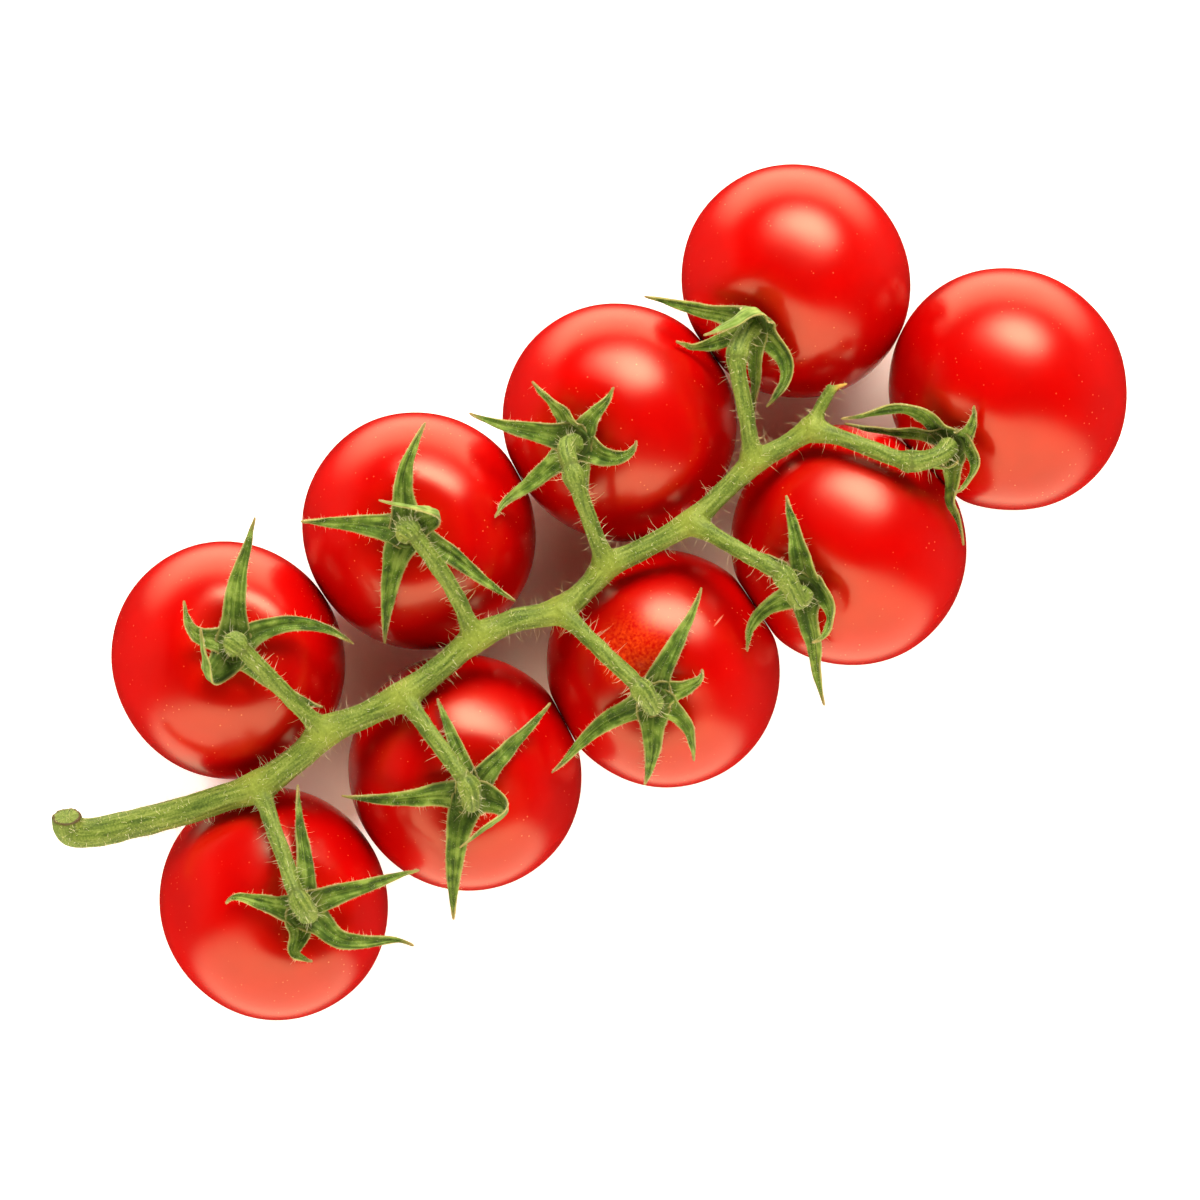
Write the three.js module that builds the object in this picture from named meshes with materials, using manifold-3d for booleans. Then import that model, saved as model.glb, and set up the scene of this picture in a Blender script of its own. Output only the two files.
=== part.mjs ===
// A truss of nine cherry tomatoes, as picked. A green stem zigzags between two rows of fruits, and at each kink a
// short stalk goes to a fruit, bends at its knuckle and ends on a star of five or six narrow sepals, the calyx.
// Millimetres, +Z up. The truss lies on its fruits. +X runs along it from the cut end of the stem to its tip, and
// the origin is on the table, under the middle of the truss.
import * as THREE from "three";
import { mergeVertices } from "three/addons/utils/BufferGeometryUtils.js";
import Module from "manifold-3d";

const wasm = await Module();
wasm.setup();

// Driving dimensions of a fruit: half its width along the truss, across it and upwards.
const HALF_ALONG = 17.0;
const HALF_ACROSS = 17.7;
const HALF_UP = 17.2;
const GAP = 0.3; // clear space between pieces that touch
const REST_FLAT = 0.35; // how far a fruit is flattened where it rests

// The pit round the stalk, the dimple at the other end and the five shallow lobes, as shares of the fruit's radius.
const PIT_DEPTH = 0.115;
const PIT_SPREAD = 0.27; // radians from the crown
const DIMPLE_DEPTH = 0.02;
const DIMPLE_SPREAD = 0.22;
const LOBES = 5;
const LOBE_HEIGHT = 0.008;
const LOBE_FROM_CROWN = 0.75; // radians, where the lobes are fullest

const FRUIT_SIDES = 24;
const FRUIT_RINGS = 13;

// The calyx: a thick little disc that carries the sepals.
const DISC_RADIUS = 2.5;
const DISC_THICK = 1.2;
const DISC_SIDES = 10;
const DISC_LIFT = GAP + 0.12; // the skin of the pit curves up under the disc
const SEPAL_THICK = 0.65;
const SEPAL_CUP = 0.3; // how steeply a sepal's halves rise from its midrib
const SEPAL_TIP = 0.15; // width at the tip, as a share of the width at the root
const SEPAL_STEPS = 8;
const SEPAL_CLEAR = GAP + SEPAL_THICK / 2 + 0.32; // from the skin to a sepal's middle
const SEPAL_OFF_STEM = GAP + SEPAL_THICK / 2 + 0.45; // from the stem's rind to a sepal's middle
const SEPAL_TWIST = 16; // degrees from root to tip, one way or the other

// The stem: the rachis thins from the cut end to the tip, and swells where it bears a stalk.
const RACHIS_THICK = [4.5, 2.7];
const NODE_SWELL = 0.5;
const NODE_REACH = 2.6;
const RACHIS_SIDES = 10;
const RACHIS_STEPS = 58;
const STALK_THICK = 2.45;
const STALK_SIDES = 8;
const STALK_STEPS = 15;
const ROOT_FLARE = 0.95; // radius added where a stalk grows from the rachis
const ROOT_REACH = 2.3;
const KNUCKLE_SWELL = 0.38;
const KNUCKLE_REACH = 1.3;
const END_FLARE = 0.2; // radius added where a stalk meets its calyx
const END_REACH = 1.4;
const NECK_SWELL = 0.2; // radius added between the knuckle and the calyx

// The nine fruits, anticlockwise from the one behind the cut end. Each has its middle seen from above, how far its
// crown lies off that middle, its size against the mean, the knuckle of its stalk, and how far the stalk bows.
const FRUITS = [
  { at: [-50.6, 21.2], crown: [2.0, 0.8], size: 1.0, knuckle: [-47.6, 22.4, 39.3] },
  { at: [-17.0, 22.5], crown: [-1.3, 0.4], size: 1.0, knuckle: [-17.9, 23.2, 39.6], bow: [0.8, -0.4] },
  { at: [16.2, 20.5], crown: [-6.5, 0.5], size: 1.0, knuckle: [6.2, 17.0, 37.0] },
  { at: [48.9, 24.3], crown: [-8.4, -2.2], size: 0.98, knuckle: [35.3, 19.2, 34.0] },
  { at: [66.7, -5.5], crown: [-10.4, -2.0], size: 1.02, knuckle: [48.6, -6.8, 31.5] },
  { at: [35.0, -12.4], crown: [-8.3, -2.0], size: 1.01, knuckle: [24.2, -11.2, 35.5] },
  { at: [2.5, -13.3], crown: [-3.3, -2.7], size: 1.0, knuckle: [-1.8, -14.1, 38.2] },
  { at: [-30.0, -10.9], crown: [-0.9, -3.0], size: 1.0, knuckle: [-30.2, -12.6, 38.9] },
  { at: [-63.8, -12.3], crown: [3.4, -2.9], size: 0.98, knuckle: [-59.6, -13.8, 38.0] },
];

// The rachis from its cut end to its tip: points on its middle line, and the fruit that a kink bears.
const RACHIS = [
  { at: [-82.2, 14.4, 25.5] },
  { at: [-83.0, 12.6, 24.2] },
  { at: [-81.8, 11.2, 23.8] },
  { at: [-79.3, 9.9, 23.8] },
  { at: [-73.4, 7.9, 24.6] },
  { at: [-67.5, 6.1, 25.6] },
  { at: [-61.5, 4.6, 26.8] },
  { at: [-56.1, 3.3, 27.8], bears: 9 },
  { at: [-51.8, 3.5, 28.6] },
  { at: [-46.9, 4.2, 29.4] },
  { at: [-44.0, 4.9, 29.8], bears: 1 },
  { at: [-37.4, 3.9, 30.4] },
  { at: [-31.4, 3.3, 31.0], bears: 8 },
  { at: [-24.7, 3.9, 30.8] },
  { at: [-18.1, 4.9, 30.6], bears: 2 },
  { at: [-12.4, 4.1, 30.4] },
  { at: [-5.6, 1.8, 30.2], bears: 7 },
  { at: [-0.1, 2.6, 30.2] },
  { at: [3.4, 3.6, 30.2], bears: 3 },
  { at: [8.6, 3.1, 30.0] },
  { at: [17.2, 2.6, 29.8], bears: 6 },
  { at: [22.0, 3.5, 29.6] },
  { at: [29.3, 5.0, 29.4], bears: 4 },
  { at: [35.4, 4.8, 29.2] },
  { at: [39.0, 5.0, 29.2], bears: 5 },
  { at: [42.0, 6.8, 29.6] },
  { at: [44.9, 8.3, 30.2] },
];
// The dry stub beside the tip, where the last bud fell off.
const STUB = [
  [43.6, 7.4, 29.9],
  [45.4, 7.8, 30.4],
  [46.9, 7.4, 31.0],
];
const STUB_THICK = 1.5;

// Sepals as [length from the calyx centre, width at the root, ways], where each of the ways is where the sepal
// heads at even steps from root to tip: a compass turn from +X, anticlockwise, and a rise above level, in degrees.
const SEPALS = [
  [
    [19.5, 4.1, [[60, 12], [54, 8], [41, 0], [43, -5]]],
    [13.5, 3.4, [[103, 10], [143, 12], [110, 50], [67, 45], [62, 20]]],
    [16.0, 4.2, [[206, 5], [200, 15], [63, 60], [63, 20], [63, 5]]],
    [19.6, 3.4, [[11, 8], [-17, 0], [-47, -15], [-72, -35]]],
    [16.5, 3.0, [[-79, 5], [-67, -12], [-56, -28]]],
  ],
  [
    [17.0, 3.9, [[66, 22], [63, 16], [36, 5], [31, 0]]],
    [16.0, 3.9, [[132, 10], [145, -6], [146, -25]]],
    [17.2, 4.0, [[208, 5], [226, -6], [231, -20], [236, -25]]],
    [19.0, 3.4, [[-52, 5], [-72, -10], [-62, -24]]],
    [18.0, 3.7, [[8, 15], [-8, 40], [138, 60], [138, 10], [138, 0]]],
  ],
  [
    [16.3, 3.8, [[127, 5], [139, -3], [135, -3], [122, 0]]],
    [11.5, 3.4, [[82, 18], [87, 12], [109, 10], [95, 30]]],
    [10.5, 3.4, [[29, 30], [27, 25], [13, 20], [40, 30]]],
    [11.0, 3.7, [[-52, 5], [-56, 5], [-22, 35], [54, 30]]],
    [17.8, 3.6, [[193, 0], [188, -10], [183, -12], [191, -6]]],
    [8.0, 3.0, [[-103, -5], [-117, -25]]],
  ],
  [
    [16.8, 3.5, [[121, 15], [140, -12], [133, -6], [136, 8]]],
    [13.4, 3.2, [[180, -12], [170, -18], [158, -10], [152, 0]]],
    [14.5, 4.6, [[51, 55], [60, 65], [185, 25], [178, -15], [165, -20]]],
    [15.0, 3.8, [[-78, 5], [-74, 5], [-110, 0], [-158, -15], [-165, -25]]],
    [15.0, 3.0, [[-120, -12], [-122, -28], [-131, -38]]],
  ],
  [
    [19.0, 3.2, [[110, 15], [98, 28], [145, 0], [168, -12], [150, -5]]],
    [16.2, 2.9, [[128, 0], [146, -8], [133, 0]]],
    [9.5, 2.6, [[-17, 35], [40, 50], [68, 45]]],
    [11.8, 3.2, [[-2, 30], [-98, 18], [-148, 0], [175, 0]]],
    [16.2, 3.2, [[-118, -12], [-127, -22], [-131, -25], [-140, -18]]],
    [9.5, 2.8, [[190, -20], [200, -5], [-10, 50], [-2, 25]]],
  ],
  [
    [14.4, 4.0, [[60, 22], [68, 15], [80, 2], [67, 0]]],
    [12.5, 3.6, [[15, 30], [-83, 22], [-112, 15], [-148, 0], [157, 0]]],
    [18.4, 3.7, [[-130, -8], [-104, -20], [-118, -28], [-112, -25], [-106, -12]]],
    [14.8, 3.4, [[162, -10], [175, -8], [209, -8], [209, -10]]],
    [10.0, 3.0, [[92, 5], [137, -12]]],
  ],
  [
    [17.8, 3.6, [[52, 15], [30, 5], [28, -4], [43, -6]]],
    [10.4, 3.3, [[4, 15], [-20, 10], [-2, 35], [84, 50]]],
    [11.8, 3.3, [[-52, 6], [-72, 0], [-111, -12], [-119, -22]]],
    [14.6, 3.8, [[-125, 0], [-122, -20], [-132, -38], [-138, -45]]],
    [18.8, 3.5, [[171, 0], [171, -8], [187, -12], [198, -10], [189, -5]]],
    [7.8, 3.0, [[100, 5], [100, -12]]],
  ],
  [
    [18.4, 3.6, [[34, 12], [14, 0], [12, -14], [20, -22]]],
    [17.4, 3.8, [[-28, 12], [-55, 25], [184, 55], [184, -5], [184, -15]]],
    [20.2, 4.0, [[-150, 0], [-128, -14], [-125, -30], [-119, -42]]],
    [19.2, 3.8, [[130, 5], [159, -4], [148, -16], [141, -16]]],
    [14.4, 3.2, [[66, 0], [81, -12], [78, -22]]],
  ],
  [
    [18.8, 3.3, [[52, 5], [65, -8], [60, -22]]],
    [18.2, 3.6, [[10, 10], [-19, 2], [-13, -4], [-19, -4]]],
    [17.8, 3.6, [[-57, 5], [-80, -8], [-32, -8], [-24, 0], [-65, -10]]],
    [9.4, 3.7, [[-150, 0], [-129, -8], [-144, 5], [-60, 20], [-43, 10]]],
    [11.0, 3.7, [[135, 5], [138, -8], [130, -8], [137, -5], [-115, -50]]],
  ],
];

const green = new THREE.MeshStandardMaterial({ color: 0x6f9440, roughness: 0.7, metalness: 0 });
const leafGreen = new THREE.MeshStandardMaterial({ color: 0x4d7a2c, roughness: 0.65, metalness: 0 });
const red = new THREE.MeshStandardMaterial({ color: 0xd81206, roughness: 0.25, metalness: 0 });

// Solids: a closed geometry as one that can be joined and cut, and back again as a named mesh.
function solidOf(geometry) {
  const bare = geometry.clone();
  bare.deleteAttribute("normal");
  bare.deleteAttribute("uv");
  const merged = mergeVertices(bare, 1e-3);
  return new wasm.Manifold(
    new wasm.Mesh({
      numProp: 3,
      vertProperties: new Float32Array(merged.attributes.position.array),
      triVerts: new Uint32Array(merged.index.array),
    }),
  );
}

function meshOf(solid, name, material) {
  const { vertProperties, triVerts } = solid.getMesh();
  const geometry = new THREE.BufferGeometry()
    .setAttribute("position", new THREE.BufferAttribute(vertProperties, 3))
    .setIndex(new THREE.BufferAttribute(triVerts, 1));
  geometry.computeVertexNormals();
  const mesh = new THREE.Mesh(geometry, material);
  mesh.name = name;
  return mesh;
}

// A closed skin over a row of rings that all have the same number of points, with a flat cap at each end. The
// four-sided patches from number "turned" on are split along their other diagonal.
function skinOver(rings, turned = Infinity) {
  const sides = rings[0].length;
  const points = rings.flat();
  const faces = [];
  for (let r = 0; r + 1 < rings.length; r++) {
    for (let k = 0; k < sides; k++) {
      const a = r * sides + k;
      const b = r * sides + ((k + 1) % sides);
      const split = k < turned ? [a, b, b + sides, a, b + sides, a + sides] : [a, b, a + sides, b, b + sides, a + sides];
      faces.push(...split);
    }
  }
  const last = (rings.length - 1) * sides;
  for (let k = 1; k + 1 < sides; k++) {
    faces.push(0, k + 1, k, last, last + k, last + k + 1);
  }
  return new THREE.BufferGeometry().setFromPoints(points).setIndex(faces);
}

// Fruits
const middleHeight = (fruit) => HALF_UP * fruit.size - REST_FLAT;
const middleOf = (fruit) => new THREE.Vector3(...fruit.at, middleHeight(fruit));
const halfSizes = (fruit) => new THREE.Vector3(HALF_ALONG, HALF_ACROSS, HALF_UP).multiplyScalar(fruit.size);

// The fruit's radius, as a share of its half sizes, at an angle from its crown and an angle round it.
function skinShare(fromCrown, round) {
  const pit = PIT_DEPTH * Math.exp(-((fromCrown / PIT_SPREAD) ** 2));
  const dimple = DIMPLE_DEPTH * Math.exp(-(((Math.PI - fromCrown) / DIMPLE_SPREAD) ** 2));
  const lobe = LOBE_HEIGHT * Math.cos(LOBES * round) * Math.exp(-(((fromCrown - LOBE_FROM_CROWN) / 0.4) ** 2));
  return 1 - pit - dimple + lobe;
}

// The turn that takes +Z to the fruit's crown.
function crownTurn(fruit) {
  const pitRadius = HALF_UP * (1 - PIT_DEPTH);
  const [x, y] = fruit.crown;
  const crown = new THREE.Vector3(x, y, Math.sqrt(pitRadius ** 2 - x * x - y * y)).normalize();
  return new THREE.Quaternion().setFromUnitVectors(new THREE.Vector3(0, 0, 1), crown);
}

const crownAxis = (fruit) => new THREE.Vector3(0, 0, 1).applyQuaternion(crownTurn(fruit));

// The point on the skin at the bottom of the pit.
const pitPoint = (fruit) =>
  crownAxis(fruit)
    .multiplyScalar(skinShare(0, 0))
    .multiply(halfSizes(fruit))
    .add(middleOf(fruit));

// Moves a point straight out from a fruit's middle until it is clear of the skin.
function pushedOut(point, fruit, clear) {
  const half = halfSizes(fruit);
  const share = point.clone().sub(middleOf(fruit)).divide(half);
  const local = share.clone().normalize().applyQuaternion(crownTurn(fruit).invert());
  const wanted = skinShare(Math.acos(THREE.MathUtils.clamp(local.z, -1, 1)), Math.atan2(local.y, local.x));
  const least = wanted + clear / HALF_UP;
  if (share.length() >= least) return point;
  return share.setLength(least).multiply(half).add(middleOf(fruit));
}

const clearOfFruits = (point, clear) => FRUITS.reduce((p, fruit) => pushedOut(p, fruit, clear), point);

// Two fruits that press on each other are flat where they meet. Returns the planes that a fruit stays behind.
function pressedPlanes(fruit) {
  const planes = [];
  for (const other of FRUITS) {
    if (other === fruit) continue;
    const towards = middleOf(other).sub(middleOf(fruit));
    const apart = towards.length();
    const n = towards.normalize();
    const reach = (f) => 1 / n.clone().divide(halfSizes(f)).length();
    const overlap = reach(fruit) + reach(other) + GAP - apart;
    if (overlap > 0) planes.push({ n, limit: reach(fruit) - overlap / 2 });
  }
  return planes;
}

function fruitSolid(fruit) {
  const middle = middleOf(fruit);
  const half = halfSizes(fruit);
  const turn = crownTurn(fruit);
  const planes = pressedPlanes(fruit);
  const ball = new THREE.SphereGeometry(1, FRUIT_SIDES, FRUIT_RINGS).rotateX(Math.PI / 2);
  const position = ball.attributes.position;
  const p = new THREE.Vector3();
  for (let i = 0; i < position.count; i++) {
    p.fromBufferAttribute(position, i).normalize();
    const share = skinShare(Math.acos(THREE.MathUtils.clamp(p.z, -1, 1)), Math.atan2(p.y, p.x));
    p.multiplyScalar(share).applyQuaternion(turn).multiply(half);
    for (const { n, limit } of planes) {
      const beyond = p.dot(n) - limit;
      if (beyond > 0) p.addScaledVector(n, -beyond);
    }
    position.setXYZ(i, p.x, p.y, p.z);
  }
  const below = new THREE.BoxGeometry(60, 60, 20).translate(0, 0, -10 - middle.z);
  return solidOf(ball).subtract(solidOf(below)).translate([middle.x, middle.y, middle.z]);
}

// Calyces
const heading = ([turn, rise]) => {
  const t = THREE.MathUtils.degToRad(turn);
  const r = THREE.MathUtils.degToRad(rise);
  return new THREE.Vector3(Math.cos(t) * Math.cos(r), Math.sin(t) * Math.cos(r), Math.sin(r));
};

// Where a sepal heads at a share of its length.
function wayAt(ways, share) {
  const at = share * (ways.length - 1);
  const k = Math.min(Math.floor(at), ways.length - 2);
  return heading(ways[k]).lerp(heading(ways[k + 1]), at - k).normalize();
}

// Moves a point straight out from the stem's middle line until it is clear of the rind.
function clearOfStem(point) {
  const p = point.clone();
  for (const { centre, radius } of stemLine) {
    const off = p.clone().sub(centre);
    if (off.length() < radius + SEPAL_OFF_STEM) p.copy(off.setLength(radius + SEPAL_OFF_STEM).add(centre));
  }
  return p;
}

// The middle line of a sepal: it follows its ways, and gives way where it would touch the stem or a fruit.
function sepalLine(root, length, ways, steps) {
  const line = [root.clone()];
  const p = root.clone();
  for (let i = 0; i < steps; i++) {
    p.addScaledVector(wayAt(ways, (i + 0.5) / steps), length / steps);
    line.push(clearOfFruits(clearOfStem(p), SEPAL_CLEAR));
  }
  return line;
}

// Widths along a sepal: it swells a little past its root and tapers to a point.
const sepalWidth = (share) => SEPAL_TIP + (1 - SEPAL_TIP) * (1 - share) ** 0.9 * (1 + 0.75 * share * (1 - share));

// One sepal as a thin blade whose halves rise from the midrib.
function sepalSolid(root, axis, [length, width, ways], twistWay) {
  const line = sepalLine(root, length, ways, SEPAL_STEPS);
  let up = axis.clone();
  const rings = line.map((p, i) => {
    const along = line[Math.min(i + 1, SEPAL_STEPS)].clone().sub(line[Math.max(i - 1, 0)]).normalize();
    up = up.addScaledVector(along, -up.dot(along)).normalize();
    const share = i / SEPAL_STEPS;
    const twist = THREE.MathUtils.degToRad(SEPAL_TWIST * twistWay * share);
    const normal = up.clone().applyAxisAngle(along, twist);
    const side = new THREE.Vector3().crossVectors(normal, along);
    const half = (width * sepalWidth(share)) / 2;
    const at = (s, n) => p.clone().addScaledVector(side, s).addScaledVector(normal, n);
    const t = SEPAL_THICK / 2;
    const rise = half * SEPAL_CUP * Math.min(1, 0.3 + 3 * share);
    return [at(-half, rise - t), at(0, -t), at(half, rise - t), at(half, rise + t), at(0, t), at(-half, rise + t)];
  });
  return solidOf(skinOver(rings, 3));
}

// The disc is a shallow cup, thickest in its middle, that follows the slope of the pit.
function discSolid(fruit) {
  const profile = [
    [0, DISC_LIFT],
    [DISC_RADIUS * 0.6, DISC_LIFT + 0.1],
    [DISC_RADIUS, DISC_LIFT + 0.6],
    [DISC_RADIUS, DISC_LIFT + DISC_THICK],
    [0, DISC_LIFT + DISC_THICK + 0.15],
  ].map(([r, z]) => new THREE.Vector2(r, z));
  const disc = new THREE.LatheGeometry(profile, DISC_SIDES).rotateX(Math.PI / 2);
  const at = pitPoint(fruit);
  return solidOf(disc.applyQuaternion(crownTurn(fruit)).translate(at.x, at.y, at.z));
}

function calyxSolid(fruit, sepals) {
  const axis = crownAxis(fruit);
  const root = pitPoint(fruit).addScaledVector(axis, DISC_LIFT + DISC_THICK * 0.5);
  return sepals.reduce(
    (calyx, sepal, k) => calyx.add(sepalSolid(root, axis, sepal, k % 2 ? -1 : 1)),
    discSolid(fruit),
  );
}

// Stem
const stemLine = []; // the stem's middle line as it is built, with its radius at each point

// A round tube along a curve, with a radius for each distance along it.
function tubeSolid(curve, steps, sides, radiusAt) {
  const length = curve.getLength();
  const { normals, binormals } = curve.computeFrenetFrames(steps);
  const rings = curve.getSpacedPoints(steps).map((p, i) => {
    const radius = radiusAt((i / steps) * length, length);
    const centre = clearOfFruits(p, radius + GAP);
    stemLine.push({ centre, radius });
    return Array.from({ length: sides }, (_, k) => {
      const a = (2 * Math.PI * k) / sides;
      return centre
        .clone()
        .addScaledVector(normals[i], radius * Math.cos(a))
        .addScaledVector(binormals[i], radius * Math.sin(a));
    });
  });
  return solidOf(skinOver(rings));
}

const bump = (distance, reach) => Math.exp(-((distance / reach) ** 2));
const smoothLine = (points) =>
  new THREE.CatmullRomCurve3(points.map((p) => (p.isVector3 ? p : new THREE.Vector3(...p))), false, "centripetal");

function rachisSolid() {
  const curve = smoothLine(RACHIS.map((kink) => kink.at));
  curve.arcLengthDivisions = 1000;
  const lengths = curve.getLengths(1000);
  const nodes = RACHIS.flatMap((kink, i) =>
    kink.bears ? [lengths[Math.round((i / (RACHIS.length - 1)) * 1000)]] : [],
  );
  const [thick, thin] = RACHIS_THICK;
  return tubeSolid(curve, RACHIS_STEPS, RACHIS_SIDES, (d, length) => {
    const swell = Math.max(...nodes.map((n) => bump(d - n, NODE_REACH)));
    return THREE.MathUtils.lerp(thick, thin, d / length) / 2 + NODE_SWELL * swell * (1 - 0.4 * (d / length));
  });
}

// A stalk leaves the rachis, runs to its knuckle, and bends down to the top of the disc.
function stalkSolid(kink) {
  const fruit = FRUITS[kink.bears - 1];
  const axis = crownAxis(fruit);
  const onDisc = pitPoint(fruit).addScaledVector(axis, DISC_LIFT + DISC_THICK + 0.15 + GAP + 0.2);
  const knuckle = new THREE.Vector3(...fruit.knuckle);
  const start = new THREE.Vector3(...kink.at);
  const upright = onDisc.clone().addScaledVector(axis, onDisc.distanceTo(knuckle) * 0.45);
  const [bowX, bowY] = fruit.bow ?? [0, 0];
  const arch = start.clone().lerp(knuckle, 0.5).add(new THREE.Vector3(bowX, bowY, 0.6));
  const curve = smoothLine([start, arch, knuckle, upright, onDisc]);
  const tail = smoothLine([knuckle, upright, onDisc]).getLength();
  return tubeSolid(curve, STALK_STEPS, STALK_SIDES, (d, length) => {
    const flare = ROOT_FLARE * bump(d, ROOT_REACH) + END_FLARE * bump(length - d, END_REACH);
    const pastKnuckle = THREE.MathUtils.clamp((d - length + tail + 1.2) / 1.6, 0, 1);
    const swell = KNUCKLE_SWELL * bump(length - tail - d, KNUCKLE_REACH) + NECK_SWELL * pastKnuckle;
    return STALK_THICK / 2 + flare + swell;
  });
}

function stubSolid() {
  return tubeSolid(smoothLine(STUB), 4, 6, (d, length) => (STUB_THICK / 2) * (1 - (0.6 * d) / length));
}

function stemSolid() {
  const stalks = RACHIS.filter((kink) => kink.bears).map(stalkSolid);
  return [...stalks, stubSolid()].reduce((stem, piece) => stem.add(piece), rachisSolid());
}

// The whole truss, moved so that the origin is under its middle.
const truss = new THREE.Group();
const stem = stemSolid();
FRUITS.forEach((fruit, i) => {
  truss.add(meshOf(fruitSolid(fruit), `tomato_${i + 1}`, red));
  truss.add(meshOf(calyxSolid(fruit, SEPALS[i]), `calyx_${i + 1}`, leafGreen));
});
truss.add(meshOf(stem, "stem", green));

const middle = new THREE.Box3().setFromObject(truss).getCenter(new THREE.Vector3());
truss.position.set(-middle.x, -middle.y, 0);

export default truss;
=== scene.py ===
# %% [markdown]
# # A truss of cherry tomatoes
# Nine ripe fruits hang on one green stem. Here the truss lies on a pale table, as picked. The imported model
# gives every piece its place and size, and this lesson replaces each plain solid by a finer piece of the
# same form: smooth fruits with a pit round the stalk, thin curled sepals, and a stem with ribs, nodes and
# hairs.

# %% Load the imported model
import random
from math import acos, atan2, cos, exp, hypot, pi, radians, sin, sqrt

import bpy
from mathutils import Matrix, Vector, noise
from mathutils.kdtree import KDTree


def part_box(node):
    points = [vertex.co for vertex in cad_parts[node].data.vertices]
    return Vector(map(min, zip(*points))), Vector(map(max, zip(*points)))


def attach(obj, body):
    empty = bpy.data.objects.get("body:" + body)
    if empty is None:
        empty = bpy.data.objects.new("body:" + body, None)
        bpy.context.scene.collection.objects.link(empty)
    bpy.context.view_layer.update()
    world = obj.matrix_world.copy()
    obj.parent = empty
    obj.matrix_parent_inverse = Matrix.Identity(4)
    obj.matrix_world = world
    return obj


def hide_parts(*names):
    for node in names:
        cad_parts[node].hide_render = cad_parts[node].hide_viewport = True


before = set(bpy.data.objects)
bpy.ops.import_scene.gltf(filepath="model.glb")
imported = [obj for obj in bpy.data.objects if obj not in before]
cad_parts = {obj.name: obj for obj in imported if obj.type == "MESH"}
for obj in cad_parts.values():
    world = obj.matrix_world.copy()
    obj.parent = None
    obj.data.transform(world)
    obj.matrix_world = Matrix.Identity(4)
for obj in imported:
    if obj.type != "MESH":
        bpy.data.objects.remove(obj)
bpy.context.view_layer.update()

MM = 0.001  # the lesson works in millimetres and the scene in metres

# %% [markdown]
# ## Small helpers
# An operator acts on whatever is selected, and loading the model leaves its nodes selected. So each step
# picks its own object first. A modifier is applied at once, so that the next operator works on the shape
# that it left.

# %% Helpers for selecting, modifiers and colours
def pick(*pieces):
    """Selects only these objects and makes the first one active."""
    bpy.ops.object.select_all(action="DESELECT")
    for piece in pieces:
        piece.select_set(True)
    bpy.context.view_layer.objects.active = pieces[0]


def apply_modifier(piece, kind, **settings):
    """Adds a modifier with these settings and applies it."""
    pick(piece)
    modifier = piece.modifiers.new(kind.lower(), kind)
    for key, value in settings.items():
        setattr(modifier, key, value)
    bpy.ops.object.modifier_apply(modifier=modifier.name)


def join(pieces, name):
    """Joins the pieces into the first one, which takes this name."""
    pick(*pieces)
    if len(pieces) > 1:
        bpy.ops.object.join()
    pieces[0].name = pieces[0].data.name = name
    return pieces[0]


def smooth_shaded(piece):
    pick(piece)
    bpy.ops.object.shade_smooth()
    return piece


def linear(hex_colour):
    """An sRGB hex colour as the linear RGBA that a shader takes."""
    channels = [int(hex_colour[k : k + 2], 16) / 255 for k in (1, 3, 5)]
    return (*[c / 12.92 if c <= 0.04045 else ((c + 0.055) / 1.055) ** 2.4 for c in channels], 1.0)


bpy.ops.object.select_all(action="DESELECT")
print("pure red is", [round(c, 3) for c in linear("#FF0000")])

# %% [markdown]
# ## Camera, table and light
# The truss was looked at from straight above and lies across the picture, so the camera looks down and is
# rolled. A long lens from far away shows the fruits at the edges as round as those in the middle.

# %% Camera
PHOTO_PIXELS = 1200
MM_PER_PIXEL = 0.1458  # at the height of the fruits' middles
FRUIT_MIDDLE = 17.0  # mm above the table
CAMERA_DISTANCE = 1500.0  # mm from the fruits' middles
ROLL = radians(32)  # the truss's long axis rises to the right by this angle
ORIGIN = Vector((0.643, -5.328, 0.0))  # mm, where the CAD source's own middle lies in the model

camera_data = bpy.data.cameras.new("camera")
camera = bpy.data.objects.new("camera", camera_data)
bpy.context.scene.collection.objects.link(camera)
camera.location = (ORIGIN + Vector((0, 0, FRUIT_MIDDLE + CAMERA_DISTANCE))) * MM
camera.rotation_euler = (0, 0, -ROLL)
camera_data.sensor_width = 36
camera_data.lens = 36 * CAMERA_DISTANCE / (PHOTO_PIXELS * MM_PER_PIXEL)
camera_data.clip_start = 0.05
bpy.context.scene.camera = camera
print("lens mm:", round(camera_data.lens, 1))

# %% [markdown]
# The main light is a soft box behind the truss, a third of the way up the sky. Real soft boxes are
# brightest in the middle, and one flat rectangle would show its corners in the wet-looking skin. So three
# ellipses of growing size shine through each other, and the shine on each fruit fades out softly. Two weak
# lights from the sides brighten the red of the flanks. They are kept out of reflections, so the flanks stay
# free of shine.

# %% Lights
picture_right = Vector((cos(ROLL), -sin(ROLL), 0))
picture_up = Vector((sin(ROLL), cos(ROLL), 0))


def soft_light(name, across, elevation, size, power):
    """An elliptical light one metre from the truss, behind it or far to a side, at a height in the sky."""
    level = (picture_right * across + picture_up).normalized()
    direction = level * cos(radians(elevation)) + Vector((0, 0, sin(radians(elevation))))
    data = bpy.data.lights.new(name, "AREA")
    data.shape = "ELLIPSE"
    data.size, data.size_y = size
    data.energy = power
    data.color = linear("#FFF2DE")[:3]
    light = bpy.data.objects.new(name, data)
    bpy.context.scene.collection.objects.link(light)
    light.location = direction
    light.rotation_euler = direction.to_track_quat("Z", "Y").to_euler()
    return light


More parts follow.
